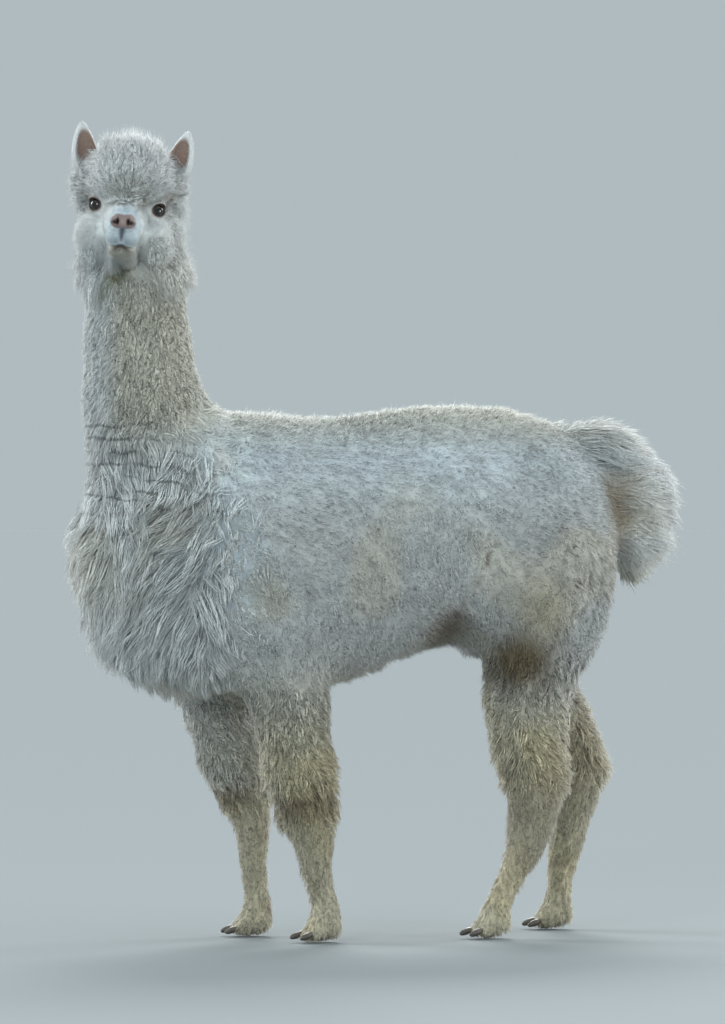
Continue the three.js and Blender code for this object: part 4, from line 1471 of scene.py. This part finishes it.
class ALPACA_OT_eyes(bpy.types.Operator):
    """Makes the two eyeballs with cornea, iris and level pupil"""
    bl_idname = "alpaca.eyes"
    bl_label = "Eyes"

    def execute(self, context):
        radius = context.scene.alpaca_head.eye_radius
        material = eye_material()
        for side, name in ((1, "left"), (-1, "right")):
            bm = bmesh.new()
            ball(bm, (0, 0, 0), (radius,) * 3, parts=(64, 48))
            for vert in bm.verts:
                off = math.hypot(vert.co.x, vert.co.y)
                if vert.co.z > 0:
                    vert.co.z += CORNEA_BULGE * math.exp(-(off / CORNEA_WIDTH) ** 4)
            eye = from_bmesh(f"eyeball_{name}", bm)
            x, y, z = coords(eye.data).T
            iris = smooth(IRIS_OUTSIDE, IRIS_INSIDE, np.hypot(x, y)) * (z > 0)
            pupil = smooth(1.1, 0.9, np.hypot(x / PUPIL_WIDTH, y / PUPIL_HEIGHT)) * (z > 0)
            colour = np.tile(BALL_TONE, (len(x), 1))
            for share, tone in ((iris, IRIS_TONE), (pupil, PUPIL_TONE)):
                colour = colour + share[:, None] * (np.array(tone) - colour)
            set_tint(eye.data, colour)
            eye.data.transform(HEAD @ Matrix.Translation(eye_place(side)[0]) @ looking(side))
            smooth_shaded(eye.data)
            eye.data.materials.append(material)
            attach(eye, "root")
            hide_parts(f"eye_{name}")
        return {"FINISHED"}


# A nail's colour at the floor, and how much lighter its top is.
NAIL_FOOT, NAIL_LIGHTER = (0.06, 0.05, 0.045), (0.10, 0.085, 0.07)


class ALPACA_OT_nails(bpy.types.Operator):
    """Makes the eight horn nails of the toes"""
    bl_idname = "alpaca.nails"
    bl_label = "Nails"

    def execute(self, context):
        material = horn_material()
        for node in NAILS:
            bm = bmesh.new()
            bm.from_mesh(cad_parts[node].data)
            bmesh.ops.remove_doubles(bm, verts=bm.verts, dist=1e-6)
            nail = from_bmesh(f"horn_{node}", bm)
            round_off = nail.modifiers.new("round", "SUBSURF")
            round_off.levels = round_off.render_levels = 2
            applied(nail)
            points = coords(nail.data)
            points[:, 2] = np.maximum(points[:, 2], 0.0)
            nail.data.vertices.foreach_set("co", points.ravel())
            up = (points[:, 2] - points[:, 2].min()) / np.ptp(points[:, 2])
            tone = np.array(NAIL_FOOT) + up[:, None] * np.array(NAIL_LIGHTER)
            set_tint(nail.data, tone)
            smooth_shaded(nail.data)
            nail.data.materials.append(material)
            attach(nail, "root")
            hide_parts(node)
        return {"FINISHED"}


class ALPACA_OT_coat(bpy.types.Operator):
    """Grows the fleece and the short hair as solid locks over the skin"""
    bl_idname = "alpaca.coat"
    bl_label = "Coat"

    def execute(self, context):
        wool = context.scene.alpaca_coat
        skin = skin_samples(bpy.data.objects["skin"])
        places = coat_places(skin)
        weights = {"ear_hair": open_ears(skin)}
        materials = {kind: wool_material(*made) for kind, made in WOOLS.items()}
        for number, (name, place, count, kind, slot, ways) in enumerate(coat_rows()):
            rng = np.random.default_rng(wool.seed * 100 + number)
            count = int(count * wool.amount)
            piece = grow(name, skin, places[place], count, rng, wool, weights.get(name), **ways)
            piece.data.materials.append(materials[kind])
        return {"FINISHED"}


# The camera's place and the way it looks, in metres.
CAMERA_AT, CAMERA_WAY = (11.2840, -4.1314, 0.7668), (-0.93969, 0.34202, 0)
# Soft lights: name, place, what it faces, side (m), share of the front power, colour.
SOFT_LIGHTS = [
    ("tail", (1.7, 1.9, 0.9), (0, 0.52, 0.72), 0.8, 0.31, (1.0, 1.0, 0.97)),
    ("front", (7.4, -5.8, 3.0), (0, -0.3, 1.0), 2.4, 4.0, (0.90, 0.99, 1.0)),
]
# Lights that fall evenly: name, from where, softness (degrees), which power over what, colour.
EVEN_LIGHTS = [
    ("above", (1.5, 0.2, 9.0), 110, "key", 60, (0.86, 0.97, 1.0)),
    ("behind", (-11.0, 4.0, 8.5), 24, "rim", 24, (0.97, 0.99, 1.0)),
    ("behind_left", (-9.0, -8.0, 4.5), 30, "rim", 40, (0.97, 0.99, 1.0)),
    ("behind_right", (-4.0, 12.0, 4.5), 30, "rim", 50, (0.97, 0.99, 1.0)),
]


def light(name, kind, at, towards, energy, colour):
    """A light that stands at a place, faces another and isn't seen itself."""
    data = bpy.data.lights.new(name, kind)
    data.energy = energy
    data.color = colour
    lamp = new_object(name, data)
    lamp.visible_camera = False
    lamp.location = at
    lamp.rotation_euler = (Vector(towards) - Vector(at)).to_track_quat("-Z", "Y").to_euler()
    return data


class ALPACA_OT_studio(bpy.types.Operator):
    """Makes the pale floor, the soft studio lights and the camera"""
    bl_idname = "alpaca.studio"
    bl_label = "Studio"

    def execute(self, context):
        studio = context.scene.alpaca_studio
        bm = bmesh.new()
        bmesh.ops.create_circle(bm, cap_ends=True, segments=96, radius=300.0)
        floor = from_bmesh("studio_floor", bm)
        material, _, bsdf = shader("studio paper")
        set_values(bsdf, {
            "Base Color": (*studio.floor, 1.0), "Roughness": 0.9, "Specular IOR Level": 0.0,
        })
        floor.data.materials.append(material)
        world = bpy.data.worlds.new("studio")
        context.scene.world = world
        world.use_nodes = True
        background = world.node_tree.nodes["Background"]
        set_values(background, {"Color": (*studio.backdrop, 1.0), "Strength": 1.0})
        context.scene.view_settings.view_transform = "Standard"
        for name, at, towards, side, share, colour in SOFT_LIGHTS:
            data = light(name, "AREA", at, towards, studio.key * share, colour)
            data.shape = "SQUARE"
            data.size = side
        for name, at, softness, power, over, colour in EVEN_LIGHTS:
            data = light(name, "SUN", at, (0, 0, 0), getattr(studio, power) / over, colour)
            data.angle = math.radians(softness)
        data = bpy.data.cameras.new("view")
        data.lens = studio.lens
        data.sensor_width = 36.0
        data.sensor_fit = "AUTO"
        data.clip_end = 1000.0
        camera = new_object("view", data)
        camera.location = CAMERA_AT
        camera.rotation_euler = Vector(CAMERA_WAY).to_track_quat("-Z", "Y").to_euler()
        context.scene.camera = camera
        return {"FINISHED"}


class ALPACA_PT_panel(bpy.types.Panel):
    bl_label = "Alpaca"
    bl_idname = "ALPACA_PT_panel"
    bl_space_type = "VIEW_3D"
    bl_region_type = "UI"
    bl_category = "Alpaca"

    def draw(self, context):
        scene = context.scene
        for group in (scene.alpaca_head, scene.alpaca_coat, scene.alpaca_studio):
            for name in group.__annotations__:
                self.layout.prop(group, name)
        for operator in OPERATORS:
            self.layout.operator(operator.bl_idname)


OPERATORS = (ALPACA_OT_studio, ALPACA_OT_skin, ALPACA_OT_eyes, ALPACA_OT_nails, ALPACA_OT_coat)
CLASSES = (CoatSettings, HeadSettings, StudioSettings, *OPERATORS, ALPACA_PT_panel)


def register():
    for cls in CLASSES:
        bpy.utils.register_class(cls)
    bpy.types.Scene.alpaca_coat = PointerProperty(type=CoatSettings)
    bpy.types.Scene.alpaca_head = PointerProperty(type=HeadSettings)
    bpy.types.Scene.alpaca_studio = PointerProperty(type=StudioSettings)


def unregister():
    del bpy.types.Scene.alpaca_coat, bpy.types.Scene.alpaca_head, bpy.types.Scene.alpaca_studio
    for cls in reversed(CLASSES):
        bpy.utils.unregister_class(cls)


def main():
    register()
    bpy.ops.alpaca.studio()
    bpy.ops.alpaca.skin()
    bpy.ops.alpaca.eyes()
    bpy.ops.alpaca.nails()
    bpy.ops.alpaca.coat()


if __name__ == "__main__":
    main()
